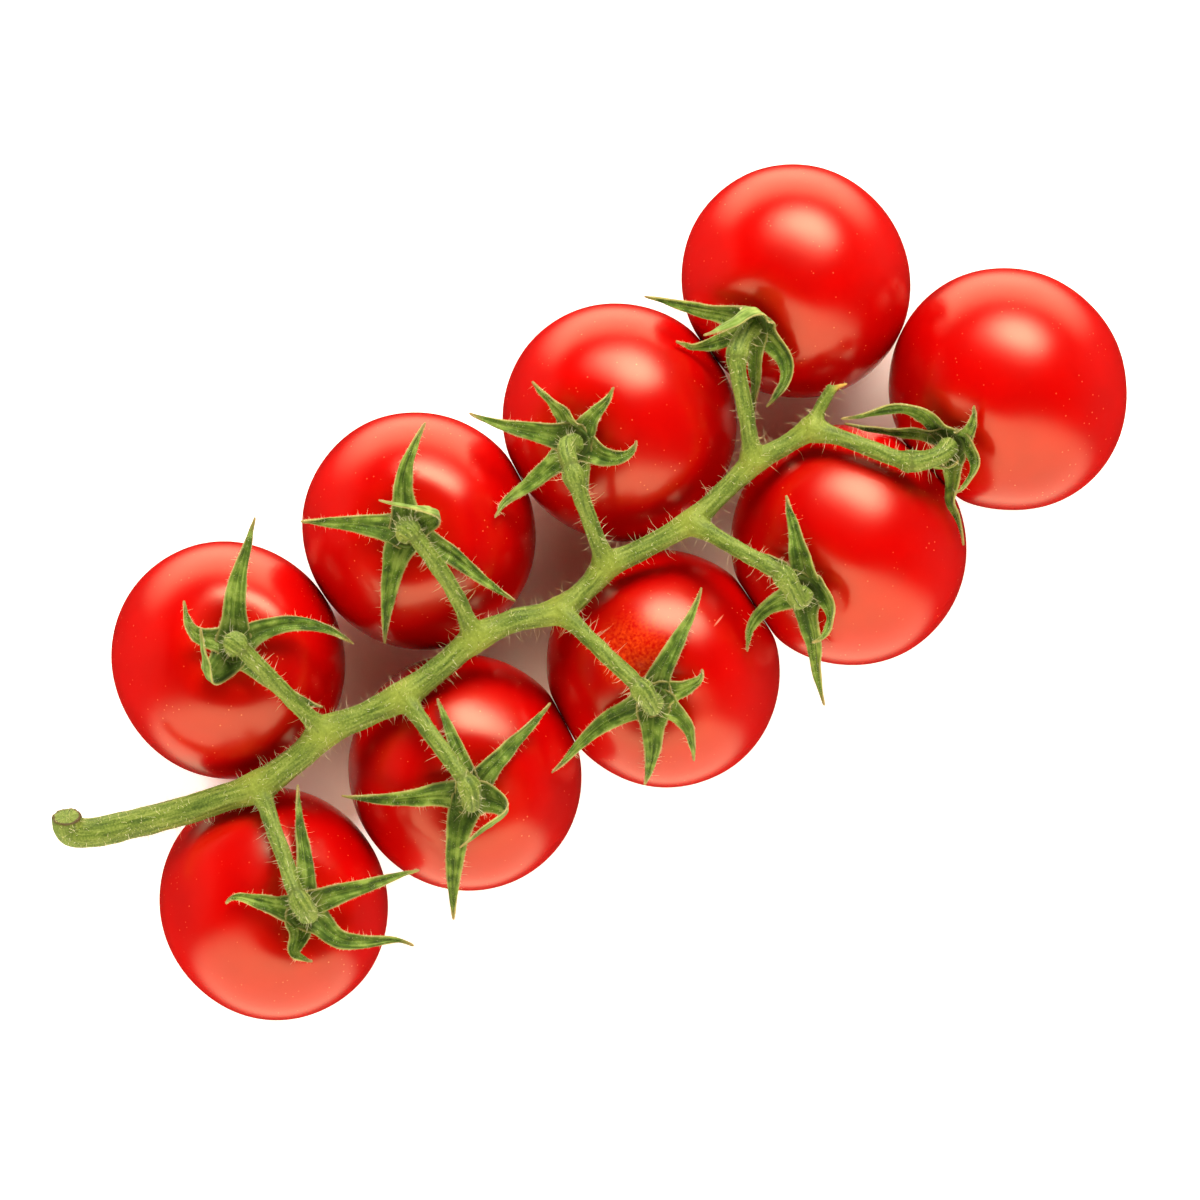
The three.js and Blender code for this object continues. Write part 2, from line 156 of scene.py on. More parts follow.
soft_box = [
    soft_light("soft_box_heart", 0.25, 35, (0.56, 0.36), 7.6),
    soft_light("soft_box_middle", 0.25, 35, (0.90, 0.62), 10.5),
    soft_light("soft_box_edge", 0.22, 35, (1.25, 0.95), 6.0),
]
side_fills = [
    soft_light("left_fill", -8, 12, (1.0, 0.7), 8.5),
    soft_light("right_fill", 8, 12, (1.0, 0.7), 2.0),
]
for light in side_fills:
    light.visible_glossy = False
print("lights:", [light.name for light in soft_box + side_fills])

# %% [markdown]
# Nodes make the studio walls, and later every finish. One small helper adds a node of any kind, sets it and
# joins it to others, so that each line below reads as one node.

# %% The helper that adds a node
def add_node(tree, kind, inputs=None, stops=None, **settings):
    """Adds a node. An input is linked if it is a node's output, and else set to a value or a hex colour."""
    node = tree.nodes.new(kind)
    for key, value in settings.items():
        setattr(node, key, value)
    for socket, value in (inputs or {}).items():
        if isinstance(value, bpy.types.NodeSocket):
            tree.links.new(value, node.inputs[socket])
        else:
            node.inputs[socket].default_value = linear(value) if isinstance(value, str) else value
    if stops:
        elements = node.color_ramp.elements
        for place, colour in stops:
            elements.new(place).color = linear(colour)
        elements.remove(elements[0])
        elements.remove(elements[len(elements) - 1])
    return node


# %% [markdown]
# The near side of every fruit mirrors a wide bright wall in front of the truss, and the far rim mirrors the
# bright table behind it. To the left and right the studio is dark, which keeps the sides of the fruits deep
# red. A plain sky can't do that, so the sky is bright only towards the front, most of all high up, and
# below the horizon at the back. To the camera itself, the sky is white, so that the background is pale from
# every side.

# %% Studio walls
FRONT_WALL = (2.3, 4.4)  # brightness low down and high up, where 1 is white paper in full light
BACK_WALL = 4.2
SIDE_WALL = 0.03
WALL_COLOUR = "#FFEEC6"  # lamp light, a little warm

world = bpy.data.worlds.new("studio")
bpy.context.scene.world = world
world.use_nodes = True
sky = world.node_tree
sky_way = add_node(sky, "ShaderNodeTexCoord").outputs["Generated"]
sky_height = add_node(sky, "ShaderNodeSeparateXYZ", {0: sky_way}).outputs["Z"]
backwards = add_node(
    sky, "ShaderNodeVectorMath", {0: sky_way, 1: picture_up}, operation="DOT_PRODUCT"
).outputs["Value"]
in_front = add_node(
    sky, "ShaderNodeMapRange", {0: backwards, 1: -0.46, 2: -0.68}, interpolation_type="SMOOTHSTEP"
).outputs[0]
front_light = add_node(
    sky, "ShaderNodeMapRange", {0: sky_height, 1: -0.6, 2: 0.5, 3: FRONT_WALL[0], 4: FRONT_WALL[1]}
).outputs[0]
front = add_node(sky, "ShaderNodeMath", {0: in_front, 1: front_light}, operation="MULTIPLY").outputs[0]
behind = add_node(
    sky, "ShaderNodeMapRange", {0: backwards, 1: 0.45, 2: 0.85, 4: BACK_WALL}, interpolation_type="SMOOTHSTEP"
).outputs[0]
low_down = add_node(
    sky, "ShaderNodeMapRange", {0: sky_height, 1: 0.15, 2: -0.25}, interpolation_type="SMOOTHSTEP"
).outputs[0]
low_behind = add_node(
    sky, "ShaderNodeMath", {0: behind, 1: low_down, 2: SIDE_WALL}, operation="MULTIPLY_ADD"
).outputs[0]
walls = add_node(sky, "ShaderNodeMath", {0: front, 1: low_behind}, operation="ADD").outputs[0]
seen = add_node(sky, "ShaderNodeLightPath").outputs["Is Camera Ray"]
brightness = add_node(sky, "ShaderNodeMix", {0: seen, 2: walls, 3: 1.0}, data_type="FLOAT").outputs[0]
background = sky.nodes["Background"]
seen_colour = add_node(
    sky, "ShaderNodeMix", {0: seen, 6: WALL_COLOUR, 7: "#FFFFFF"}, data_type="RGBA"
).outputs[2]
sky.links.new(seen_colour, background.inputs["Color"])
sky.links.new(brightness, background.inputs["Strength"])
bpy.context.scene.view_settings.view_transform = "Standard"
print("sky nodes:", len(sky.nodes))

# %% [markdown]
# The table is plain white paper that glows a little, as if lit from below, so it stays white where the
# fruits shade it. Only the hollow between the two rows of fruits stays dim. Outside the hollow, the paper
# is clear to the rays that the shiny fruits send out, so they mirror the studio walls in place of it. That
# keeps their lower sides from washing out.

# %% Table
GLOW = 0.72
HOLLOW_HALF_LENGTH = 46 * MM  # the dim hollow is a long oval round this line, under the stem
HOLLOW_EDGE = (12 * MM, 19 * MM)

bpy.ops.mesh.primitive_plane_add(size=6, location=(0, 0, -0.0002))
table = bpy.context.object
table.name = "table"

paper = bpy.data.materials.new("matt_white_paper")
paper.use_nodes = True
paper_tree = paper.node_tree
paper_shader = paper_tree.nodes["Principled BSDF"]
paper_shader.inputs["Roughness"].default_value = 0.9
paper_shader.inputs["Specular IOR Level"].default_value = 0.0
paper_shader.inputs["Base Color"].default_value = linear("#F4F0EE")
paper_shader.inputs["Emission Color"].default_value = linear("#FFFFFF")
paper_place = add_node(paper_tree, "ShaderNodeTexCoord").outputs["Object"]
paper_side = add_node(paper_tree, "ShaderNodeVectorMath", {0: paper_place}, operation="ABSOLUTE").outputs[0]
past_line = add_node(
    paper_tree, "ShaderNodeVectorMath", {0: paper_side, 1: (HOLLOW_HALF_LENGTH, 0, 0)}, operation="SUBTRACT"
).outputs[0]
off_line = add_node(
    paper_tree, "ShaderNodeVectorMath", {0: past_line, 1: (0, 0, 0)}, operation="MAXIMUM"
).outputs[0]
hollow_way = add_node(paper_tree, "ShaderNodeVectorMath", {0: off_line}, operation="LENGTH").outputs["Value"]
outside = add_node(
    paper_tree, "ShaderNodeMapRange", {0: hollow_way, 1: HOLLOW_EDGE[0], 2: HOLLOW_EDGE[1]},
    interpolation_type="SMOOTHSTEP",
).outputs[0]
glow = add_node(paper_tree, "ShaderNodeMath", {0: outside, 1: GLOW}, operation="MULTIPLY").outputs[0]
paper_tree.links.new(glow, paper_shader.inputs["Emission Strength"])
mirrored = add_node(paper_tree, "ShaderNodeLightPath").outputs["Is Glossy Ray"]
clear_share = add_node(
    paper_tree, "ShaderNodeMath", {0: outside, 1: mirrored}, operation="MULTIPLY"
).outputs[0]
clear = add_node(paper_tree, "ShaderNodeBsdfTransparent").outputs[0]
paper_mix = add_node(
    paper_tree, "ShaderNodeMixShader", {0: clear_share, 1: paper_shader.outputs[0], 2: clear}
).outputs[0]
paper_tree.links.new(paper_mix, paper_tree.nodes["Material Output"].inputs["Surface"])
table.data.materials.append(paper)
print("table glow:", GLOW)

# %% [markdown]
# ## The plan of the truss
# These are the same real sizes as in the CAD source, in millimetres: where each fruit lies, where its crown
# points, where its stalk has its knuckle, and the middle line of the main stem. The finer pieces are built
# on the same plan, so they lie where the solids lie.

# %% Fruit plan
HALF_ALONG = 17.0  # half a fruit's size along the truss
HALF_ACROSS = 17.7
HALF_UP = 17.2
REST_FLAT = 0.35  # how much of the ball the flat under it takes off
PIT_DEPTH = 0.115  # shares of the radius, and angles in radians from the crown or the far end
PIT_SPREAD = 0.27
DIMPLE_DEPTH = 0.02
DIMPLE_SPREAD = 0.22
LOBES = 5
LOBE_HEIGHT = 0.008
LOBE_FROM_CROWN = 0.75
LOBE_SPREAD = 0.4
GAP = 0.3  # between the fruits and what lies on them

FRUITS = [
    dict(at=(-50.6, 21.2), crown=(2.0, 0.8), size=1.0, knuckle=(-47.6, 22.4, 39.3)),
    dict(at=(-17.0, 22.5), crown=(-1.3, 0.4), size=1.0, knuckle=(-17.9, 23.2, 39.6), bow=(0.8, -0.4)),
    dict(at=(16.2, 20.5), crown=(-6.5, 0.5), size=1.0, knuckle=(6.2, 17.0, 37.0), joint=1.8),
    dict(at=(48.9, 24.3), crown=(-8.4, -2.2), size=0.98, knuckle=(35.3, 19.2, 34.0), joint=0.0),
    dict(at=(66.7, -5.5), crown=(-10.4, -2.0), size=1.02, knuckle=(48.6, -6.8, 31.5), joint=0.3),
    dict(at=(35.0, -12.4), crown=(-8.3, -2.0), size=1.01, knuckle=(24.2, -11.2, 35.5)),
    dict(at=(2.5, -13.3), crown=(-3.3, -2.7), size=1.0, knuckle=(-1.8, -14.1, 38.2)),
    dict(at=(-30.0, -10.9), crown=(-0.9, -3.0), size=1.0, knuckle=(-30.2, -12.6, 38.9)),
    dict(at=(-63.8, -12.3), crown=(3.4, -2.9), size=0.98, knuckle=(-59.6, -13.8, 38.0)),
]


def times(a, b):
    """Two vectors multiplied part by part."""
    return Vector((a.x * b.x, a.y * b.y, a.z * b.z))


def lobe_share(from_crown, around):
    return LOBE_HEIGHT * cos(LOBES * around) * exp(-(((from_crown - LOBE_FROM_CROWN) / LOBE_SPREAD) ** 2))


def skin_share(from_crown, around):
    """The fruit's radius as a share of its half sizes, with its pit, its dimple and five shallow lobes."""
    pit = PIT_DEPTH * exp(-((from_crown / PIT_SPREAD) ** 2))
    dimple = DIMPLE_DEPTH * exp(-(((pi - from_crown) / DIMPLE_SPREAD) ** 2))
    return 1 - pit - dimple + lobe_share(from_crown, around)


for fruit in FRUITS:
    x, y = fruit["crown"]
    pit_radius = HALF_UP * (1 - PIT_DEPTH)
    fruit["axis"] = Vector((x, y, sqrt(pit_radius**2 - x * x - y * y))).normalized()
    fruit["turn"] = Vector((0, 0, 1)).rotation_difference(fruit["axis"])
    fruit["half"] = Vector((HALF_ALONG, HALF_ACROSS, HALF_UP)) * fruit["size"]
    fruit["middle"] = Vector((*fruit["at"], HALF_UP * fruit["size"] - REST_FLAT)) + ORIGIN
    fruit["pit"] = times(fruit["axis"] * skin_share(0, 0), fruit["half"]) + fruit["middle"]


def pushed_out(point, fruit, clear):
    """Moves a point straight out from a fruit's middle until it is clear of the skin."""
    offset = point - fruit["middle"]
    share = Vector([offset[k] / fruit["half"][k] for k in range(3)])
    local = fruit["turn"].inverted() @ share.normalized()
    wanted = skin_share(acos(max(-1, min(1, local.z))), atan2(local.y, local.x)) + clear / HALF_UP
    if share.length >= wanted:
        return point
    return times(share.normalized() * wanted, fruit["half"]) + fruit["middle"]


def clear_of_fruits(point, clear):
    for fruit in FRUITS:
        point = pushed_out(point, fruit, clear)
    return point


for number, fruit in enumerate(FRUITS, 1):
    low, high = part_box(f"tomato_{number}")
    middle = [(a + b) / 2 / MM for a, b in zip(low, high)]
    planned_at, packed_at = [[round(c, 1) for c in place] for place in (fruit["middle"], middle)]
    print(f"tomato_{number}: plan", planned_at, "model", packed_at)

# %% [markdown]
# ## The fruits
# A cherry tomato is a ball, a little longer across than along, with a pit where the stalk enters and a
# faint dimple with a scar at the other end. It could be lathed or sculpted. Here it starts as a sphere,
# because the rings of a sphere give both poles even faces. Each pole is pushed in with proportional
# editing, which carries the skin around it along as soft fruit would follow. Then the ball is scaled and
# turned to its crown, and where fruits press on each other or rest on the table, the skin beyond that plane
# is moved back onto it.

# %% Ball with a pit and a dimple
def pushed_pole(piece, top, depth, reach):
    """Pushes one pole of the unit ball inwards, and lets the skin follow within reach."""
    pick(piece)
    for vertex in piece.data.vertices:
        vertex.select = (vertex.co.z > 0.9999) if top else (vertex.co.z < -0.9999)
    bpy.ops.object.mode_set(mode="EDIT")
    bpy.ops.transform.translate(
        value=(0, 0, -depth if top else depth),
        use_proportional_edit=True,
        proportional_edit_falloff="SMOOTH",
        proportional_size=reach,
    )
    bpy.ops.object.mode_set(mode="OBJECT")


bpy.ops.mesh.primitive_uv_sphere_add(segments=72, ring_count=44, radius=1)
ball = bpy.context.object
ball.name = "ball"
for edge_or_face in (ball.data.edges, ball.data.polygons):
    edge_or_face.foreach_set("select", [False] * len(edge_or_face))
pushed_pole(ball, True, PIT_DEPTH * 1.08, 0.56)
pushed_pole(ball, False, DIMPLE_DEPTH, 0.4)
lowest = min(v.co.z for v in ball.data.vertices)
crown_height = max((v.co for v in ball.data.vertices), key=lambda c: -hypot(c.x, c.y) + (c.z > 0)).z
print("unit ball: crown at", round(crown_height, 3), "lowest", round(lowest, 3))

# %% [markdown]
# Real fruits are never true balls. A slow, shallow unevenness of a tenth of a millimetre bends the
# reflections a little, as on the real skin. It is added to the vertices by a noise of position, so each
# fruit gets its own.

# %% Nine fruits from the one ball
UNEVEN = 0.16  # mm, how far the skin strays from the true form
UNEVEN_SCALE = 11.0  # mm, how wide the bumps are
TOUCH = 0.04  # mm, what stays between two skins that press on each other


def pressed_planes(fruit):
    """The planes that a fruit stays behind: one towards each neighbour that it presses on, and the table."""
    planes = [(Vector((0, 0, -1)), fruit["middle"].z)]
    for other in FRUITS:
        if other is fruit:
            continue
        towards = other["middle"] - fruit["middle"]
        apart = towards.length
        towards.normalize()
        reach = [1 / Vector([towards[k] / f["half"][k] for k in range(3)]).length for f in (fruit, other)]
        overlap = sum(reach) + TOUCH - apart
        if overlap > 0:
            planes.append((towards, reach[0] - overlap / 2))
    return planes


def make_fruit(number, fruit):
    tomato = ball.copy()
    tomato.data = ball.data.copy()
    tomato.name = tomato.data.name = f"tomato_{number}_skin"
    bpy.context.scene.collection.objects.link(tomato)
    planes = pressed_planes(fruit)
    crownness = tomato.data.attributes.new("from_crown", "FLOAT", "POINT")
    for vertex in tomato.data.vertices:
        co = vertex.co.copy()
        from_crown = acos(max(-1, min(1, co.normalized().z)))
        crownness.data[vertex.index].value = from_crown
        lobe = lobe_share(from_crown, atan2(co.y, co.x))
        place = times(fruit["turn"] @ (co * (1 + lobe)), fruit["half"])
        uneven = UNEVEN * noise.noise((place + fruit["middle"]) / UNEVEN_SCALE)
        vertex.co = place * (1 + (uneven - UNEVEN / 2) / HALF_UP)
    for normal, limit in planes:
        for vertex in tomato.data.vertices:
            beyond = vertex.co.dot(normal) - limit
            if beyond > 0:
                vertex.co -= normal * beyond
    for vertex in tomato.data.vertices:
        vertex.co = (vertex.co + fruit["middle"]) * MM
    apply_modifier(tomato, "SMOOTH", factor=0.5, iterations=2)
    apply_modifier(tomato, "SUBSURF", levels=1, render_levels=1)
    return smooth_shaded(tomato)


tomatoes = [make_fruit(number, fruit) for number, fruit in enumerate(FRUITS, 1)]
bpy.data.objects.remove(ball)
print("fruits:", len(tomatoes), "with", len(tomatoes[0].data.polygons), "faces each")

# %% [markdown]
# ## The stem
# The main stem, or rachis, zigzags: at each kink it swells to a node and sends a stalk to one fruit. A
# stalk has a swollen knuckle near its end, with a fine line round it where a ripe fruit breaks off. All of
# it grew as one piece. Curves with a thickness for each point give tapered round tubes along smooth lines.
# The tubes are then joined and remeshed by voxels, which melts them into one skin with a soft fillet at
# every fork.

# %% Stem plan
RACHIS_THICK = (4.5, 2.7)  # at its cut end and at its tip
TIP_THINNER = 0.34  # the share that the tip past the last node loses
TIP_FROM, TIP_OVER = 0.6, 2.2  # where that starts past the node, and over what length
NODE_SWELL = 0.5
NODE_THINNER = 0.4  # the share of its swelling that the last node lacks
NODE_REACH = 2.6
STALK_THICK = 2.45
ROOT_FLARE = 0.95
ROOT_REACH = 2.3
ROOT_YELLOW = 2.8  # how far the node's yellow reaches up a stalk
KNUCKLE_SWELL = 0.38
KNUCKLE_REACH = 1.3
RING_BEFORE = 1.4  # the ring where a ripe fruit breaks off lies this far before the knuckle
RING_REACH = 0.36
RING_DEPTH = 0.2
END_FLARE = 0.2
END_REACH = 1.4
NECK_SWELL = 0.2  # how much thicker a stalk is past its knuckle
NECK_FROM, NECK_OVER = 1.2, 1.6  # where that starts before the knuckle, and over what length
DISC_THICK = 1.2
DISC_LIFT = GAP + 0.12
DISC_GIVE = 0.15  # how much thinner than planned the disc is, so that the stalk's end clears it
STALK_LIFT = DISC_LIFT + DISC_THICK + DISC_GIVE + GAP + 0.2  # of the stalk's end above the pit

RACHIS = [
    ((-82.2, 14.4, 25.5), 0), ((-83.0, 12.6, 24.2), 0), ((-81.8, 11.2, 23.8), 0), ((-79.3, 9.9, 23.8), 0),
    ((-73.4, 7.9, 24.6), 0), ((-67.5, 6.1, 25.6), 0), ((-61.5, 4.6, 26.8), 0), ((-56.1, 3.3, 27.8), 9),
    ((-51.8, 3.5, 28.6), 0), ((-46.9, 4.2, 29.4), 0), ((-44.0, 4.9, 29.8), 1), ((-37.4, 3.9, 30.4), 0),
    ((-31.4, 3.3, 31.0), 8), ((-24.7, 3.9, 30.8), 0), ((-18.1, 4.9, 30.6), 2), ((-12.4, 4.1, 30.4), 0),
    ((-5.6, 1.8, 30.2), 7), ((-0.1, 2.6, 30.2), 0), ((3.4, 3.6, 30.2), 3), ((8.6, 3.1, 30.0), 0),
    ((17.2, 2.6, 29.8), 6), ((22.0, 3.5, 29.6), 0), ((29.3, 5.0, 29.4), 4), ((35.4, 4.8, 29.2), 0),
    ((39.0, 5.0, 29.2), 5), ((42.0, 6.8, 29.6), 0), ((44.9, 8.3, 30.2), 0),
]
STUB = [(44.5, 8.0, 30.1), (45.6, 7.9, 30.5), (46.9, 7.5, 31.0)]
STUB_THICK = 1.0
STUB_TAPER = 0.6


def smooth_line(points, spacing=0.5):
    """A smooth line through the points, as points about as far apart as the spacing."""
    ends = [2 * points[0] - points[1], *points, 2 * points[-1] - points[-2]]
    line = []
    for a, b, c, d in zip(ends, ends[1:], ends[2:], ends[3:]):
        before, here, after = [sqrt((q - p).length) for p, q in ((a, b), (b, c), (c, d))]
        leave = ((b - a) / before - (c - a) / (before + here) + (c - b) / here) * here
        arrive = ((c - b) / here - (d - b) / (here + after) + (d - c) / after) * here
        steps = max(2, round((c - b).length / spacing))
        for k in range(steps):
            s = k / steps
            line.append(
                b * (2 * s**3 - 3 * s**2 + 1) + leave * (s**3 - 2 * s**2 + s)
                + c * (3 * s**2 - 2 * s**3) + arrive * (s**3 - s**2)
            )
    return [*line, points[-1].copy()]


def lengths_along(line):
    total = [0.0]
    for p, q in zip(line, line[1:]):
        total.append(total[-1] + (q - p).length)
    return total


def bump(distance, reach):
    return exp(-((distance / reach) ** 2))


# %% Middle lines and thicknesses
def planned(point):
    return Vector(point) + ORIGIN


def nearest_length(line, lengths, point):
    return min(zip(line, lengths), key=lambda pair: (pair[0] - point).length)[1]


strands = []  # every tube of the stem: its middle line, its radius at each point, and its colour marks

rachis_line = smooth_line([planned(at) for at, bears in RACHIS])
rachis_lengths = lengths_along(rachis_line)
node_lengths = [nearest_length(rachis_line, rachis_lengths, planned(at)) for at, bears in RACHIS if bears]
rachis_radii = []
rachis_nodes = []
for d in rachis_lengths:
    share = d / rachis_lengths[-1]
    swell = max(bump(d - n, NODE_REACH) for n in node_lengths)
    thick = RACHIS_THICK[0] * (1 - share) + RACHIS_THICK[1] * share
    past_last = min(1, max(0, (d - node_lengths[-1] - TIP_FROM) / TIP_OVER))
    radius = thick / 2 + NODE_SWELL * swell * (1 - NODE_THINNER * share)
    rachis_radii.append(radius * (1 - TIP_THINNER * past_last))
    rachis_nodes.append(swell)
rachis_line = [clear_of_fruits(p, r + GAP) for p, r in zip(rachis_line, rachis_radii)]
no_ring = [0.0] * len(rachis_line)
strands.append(dict(line=rachis_line, radii=rachis_radii, node=rachis_nodes, joint=no_ring))

for at, bears in RACHIS:
    if not bears:
        continue
    fruit = FRUITS[bears - 1]
    start, knuckle = planned(at), planned(fruit["knuckle"])
    on_disc = fruit["pit"] + fruit["axis"] * STALK_LIFT
    upright = on_disc + fruit["axis"] * ((on_disc - knuckle).length * 0.45)
    bow_x, bow_y = fruit.get("bow", (0, 0))
    arch = (start + knuckle) / 2 + Vector((bow_x, bow_y, 0.6))
    line = smooth_line([start, arch, knuckle, upright, on_disc], 0.4)
    lengths = lengths_along(line)
    knuckle_length = nearest_length(line, lengths, knuckle)
    radii, node, joint = [], [], []
    for d in lengths:
        past_knuckle = min(1, max(0, (d - knuckle_length + NECK_FROM) / NECK_OVER))
        flare = ROOT_FLARE * bump(d, ROOT_REACH) + END_FLARE * bump(lengths[-1] - d, END_REACH)
        flare += NECK_SWELL * past_knuckle
        swell = KNUCKLE_SWELL * bump(d - knuckle_length, KNUCKLE_REACH)
        ring = bump(d - knuckle_length - fruit.get("joint", -RING_BEFORE), RING_REACH)
        radii.append(STALK_THICK / 2 + flare + swell - RING_DEPTH * ring)
        node.append(bump(d, ROOT_YELLOW))
        joint.append(ring)
    line = [clear_of_fruits(p, r + GAP) for p, r in zip(line, radii)]
    strands.append(dict(line=line, radii=radii, node=node, joint=joint))

stub_line = smooth_line([planned(p) for p in STUB], 0.3)
stub_radii = [STUB_THICK / 2 * (1 - STUB_TAPER * k / (len(stub_line) - 1)) for k in range(len(stub_line))]
stub_node, no_ring = [0.6] * len(stub_line), [0.0] * len(stub_line)
strands.append(dict(line=stub_line, radii=stub_radii, node=stub_node, joint=no_ring))
print("strands:", len(strands), "rachis length mm:", round(rachis_lengths[-1], 1))

# %% Tubes along the middle lines, melted into one skin
VOXEL = 0.25  # mm


def tube(strand, name):
    """A round tube with a thickness for each point, made by a curve's bevel and turned into a mesh."""
    curve = bpy.data.curves.new(name, "CURVE")
    curve.dimensions = "3D"
    curve.bevel_depth = MM
    curve.bevel_resolution = 4
    curve.use_fill_caps = True
    spline = curve.splines.new("POLY")
    spline.points.add(len(strand["line"]) - 1)
    for point, place, radius in zip(spline.points, strand["line"], strand["radii"]):
        point.co = (*(place * MM), 1)
        point.radius = radius
    piece = bpy.data.objects.new(name, curve)
    bpy.context.scene.collection.objects.link(piece)
    pick(piece)
    bpy.ops.object.convert(target="MESH")
    return bpy.context.object


stem = join([tube(strand, f"strand_{k}") for k, strand in enumerate(strands)], "stem_rind")

# %% [markdown]
# The cut end of the stem has dried: its rim stands up a little round a sunken middle. The end face is inset
# and pushed in before the tubes melt together.

# %% The sunken cut end
CUT_RIM = 0.40  # mm, how wide the rim is
CUT_SUNK = 0.8  # mm

cut_point = rachis_line[0] * MM
cut_way = (rachis_line[0] - rachis_line[2]).normalized()
pick(stem)
bpy.ops.object.mode_set(mode="EDIT")
bpy.ops.mesh.select_mode(type="FACE")
bpy.ops.mesh.select_all(action="DESELECT")
bpy.ops.object.mode_set(mode="OBJECT")
for face in stem.data.polygons:
    face.select = (face.center - cut_point).length < 0.3 * MM and len(face.vertices) > 4
print("cut faces:", sum(face.select for face in stem.data.polygons))
bpy.ops.object.mode_set(mode="EDIT")
bpy.ops.mesh.inset(thickness=CUT_RIM * MM)
bpy.ops.mesh.extrude_region_move(TRANSFORM_OT_translate={"value": tuple(-cut_way * CUT_SUNK * MM)})
bpy.ops.object.mode_set(mode="OBJECT")
apply_modifier(stem, "REMESH", mode="VOXEL", voxel_size=VOXEL * MM)
apply_modifier(stem, "SMOOTH", factor=0.5, iterations=5)
smooth_shaded(stem)
print("stem faces:", len(stem.data.polygons))

# %% [markdown]
# Streaks, ribs and hairs follow the stem, so each point of the skin needs to know where it lies on its
# strand. The nearest point of the middle lines tells that: how far along, and on which side. Both are kept
# as an attribute called fibre, which the material reads, and the ribs are raised from it in the mesh
# itself.

# %% Where each point of the rind lies
samples = []  # the points of every middle line, with the way along and a way across at each
for strand in strands:
    line = strand["line"]
    across = Vector((0, 0, 1))
    for k, (place, length) in enumerate(zip(line, lengths_along(line))):
        along = (line[min(k + 1, len(line) - 1)] - line[max(k - 1, 0)]).normalized()
        across = (across - along * across.dot(along)).normalized()
        samples.append((place, along, across.copy(), length, strand, k))
nearby = KDTree(len(samples))
for index, sample in enumerate(samples):
    nearby.insert(sample[0], index)
nearby.balance()


def on_strand(place):
    """The nearest sample of the middle lines, and the angle round it."""
    sample = samples[nearby.find(place)[1]]
    centre, along, across = sample[:3]
    offset = place - centre
    return sample, atan2(offset.dot(along.cross(across)), offset.dot(across))


print("samples:", len(samples))

# %% Fibre directions, marks and ribs
RIBS = 7
RIB_HEIGHT = 0.04  # mm
LUMPS = ((0.12, 2.4), (0.03, 0.8))  # mm, height and width of the lumps
RIB_TWIST = 0.25  # radians for each millimetre along
THIN_STEM = 1.5  # mm, the radius below which the ribs grow shallower
CUT_BAND = 0.35  # mm, how far from the cut the dry brown reaches
CUT_REACH = (1.75, 2.8)  # mm from the axis, where the cut's rim lies
STRAW_REACH = 2.2  # mm from the stub's end

MARKS = ("node", "joint", "dry", "straw")
stem.data.attributes.new("fibre", "FLOAT_VECTOR", "POINT")
for mark in MARKS:
    stem.data.attributes.new(mark, "FLOAT", "POINT")
# They are looked up once all are there, because each new one may move the others.
fibre = stem.data.attributes["fibre"]
marks = {mark: stem.data.attributes[mark] for mark in MARKS}
rib_moves = []
for index, vertex in enumerate(stem.data.vertices):
    place = vertex.co / MM
    sample, angle = on_strand(place)
    length, strand, k = sample[3:]
    radius = strand["radii"][k]
    fibre.data[index].vector = (length, radius * cos(angle), radius * sin(angle))
    marks["node"].data[index].value = strand["node"][k]
    marks["joint"].data[index].value = strand["joint"][k]
    from_cut = place - rachis_line[0]
    beside_cut = (from_cut - cut_way * from_cut.dot(cut_way)).length
    on_rim = CUT_REACH[0] < beside_cut < CUT_REACH[1]
    cut_rim = 1 - abs(from_cut.dot(cut_way)) / CUT_BAND if on_rim else 0.0
    marks["dry"].data[index].value = max(0.0, min(1.0, 1.2 * cut_rim))
    marks["straw"].data[index].value = max(0.0, min(1.0, STRAW_REACH - (place - stub_line[-1]).length))
    rib = cos(RIBS * angle + RIB_TWIST * length) * RIB_HEIGHT * min(1, radius / THIN_STEM)
    lump = sum(height * noise.noise(place / width) for height, width in LUMPS)
    rib_moves.append(vertex.normal * (rib + lump) * MM)
for vertex, move in zip(stem.data.vertices, rib_moves):
    vertex.co += move
print("rind points:", len(rib_moves))

# %% [markdown]
# ## The calyces
# Under each stalk sits a calyx: a small thick disc with five or six narrow leaves, the sepals, which stood
# round the flower. They dry as the fruit ripens, so they lift, roll back and twist. A sepal could be cut
# from a plane with a knife, but all of them are the same blade: so one blade is made from a grid with its
# rows drawn in to a point, and each copy is laid along its own line of travel. Solidify gives it its
# thinness.

# %% Sepal plan
DISC_RADIUS = 2.3
SEPAL_CUP = 0.3  # how far its edges stand up, as a share of its half width
SEPAL_THICK = 0.34
SEPAL_THICK_IN_CAD = 0.65
SEPAL_CLEAR = GAP + SEPAL_THICK_IN_CAD / 2 + 0.32
SEPAL_OFF_STEM = GAP + SEPAL_THICK_IN_CAD / 2 + 0.45
SEPAL_TWIST = 16  # degrees from root to tip
BLADE_STEPS = 26
BLADE_ROWS = 10
WEB_FLARE = 0.42  # how much wider a sepal is where it meets its neighbours
WEB_REACH = 3.2  # mm from the middle of the calyx
RIM_WAVE = 0.30  # mm, how far a sepal's dry rim strays up and down
GROOVE_DEPTH = 0.20  # mm, along the midrib
VEIN_HEIGHT = 0.10  # mm, of the two side veins
CRUMPLE = 0.30  # mm, of the dents between them
EDGE_HAIRS_PER_MM = 10
FACE_HAIRS_PER_MM = 9

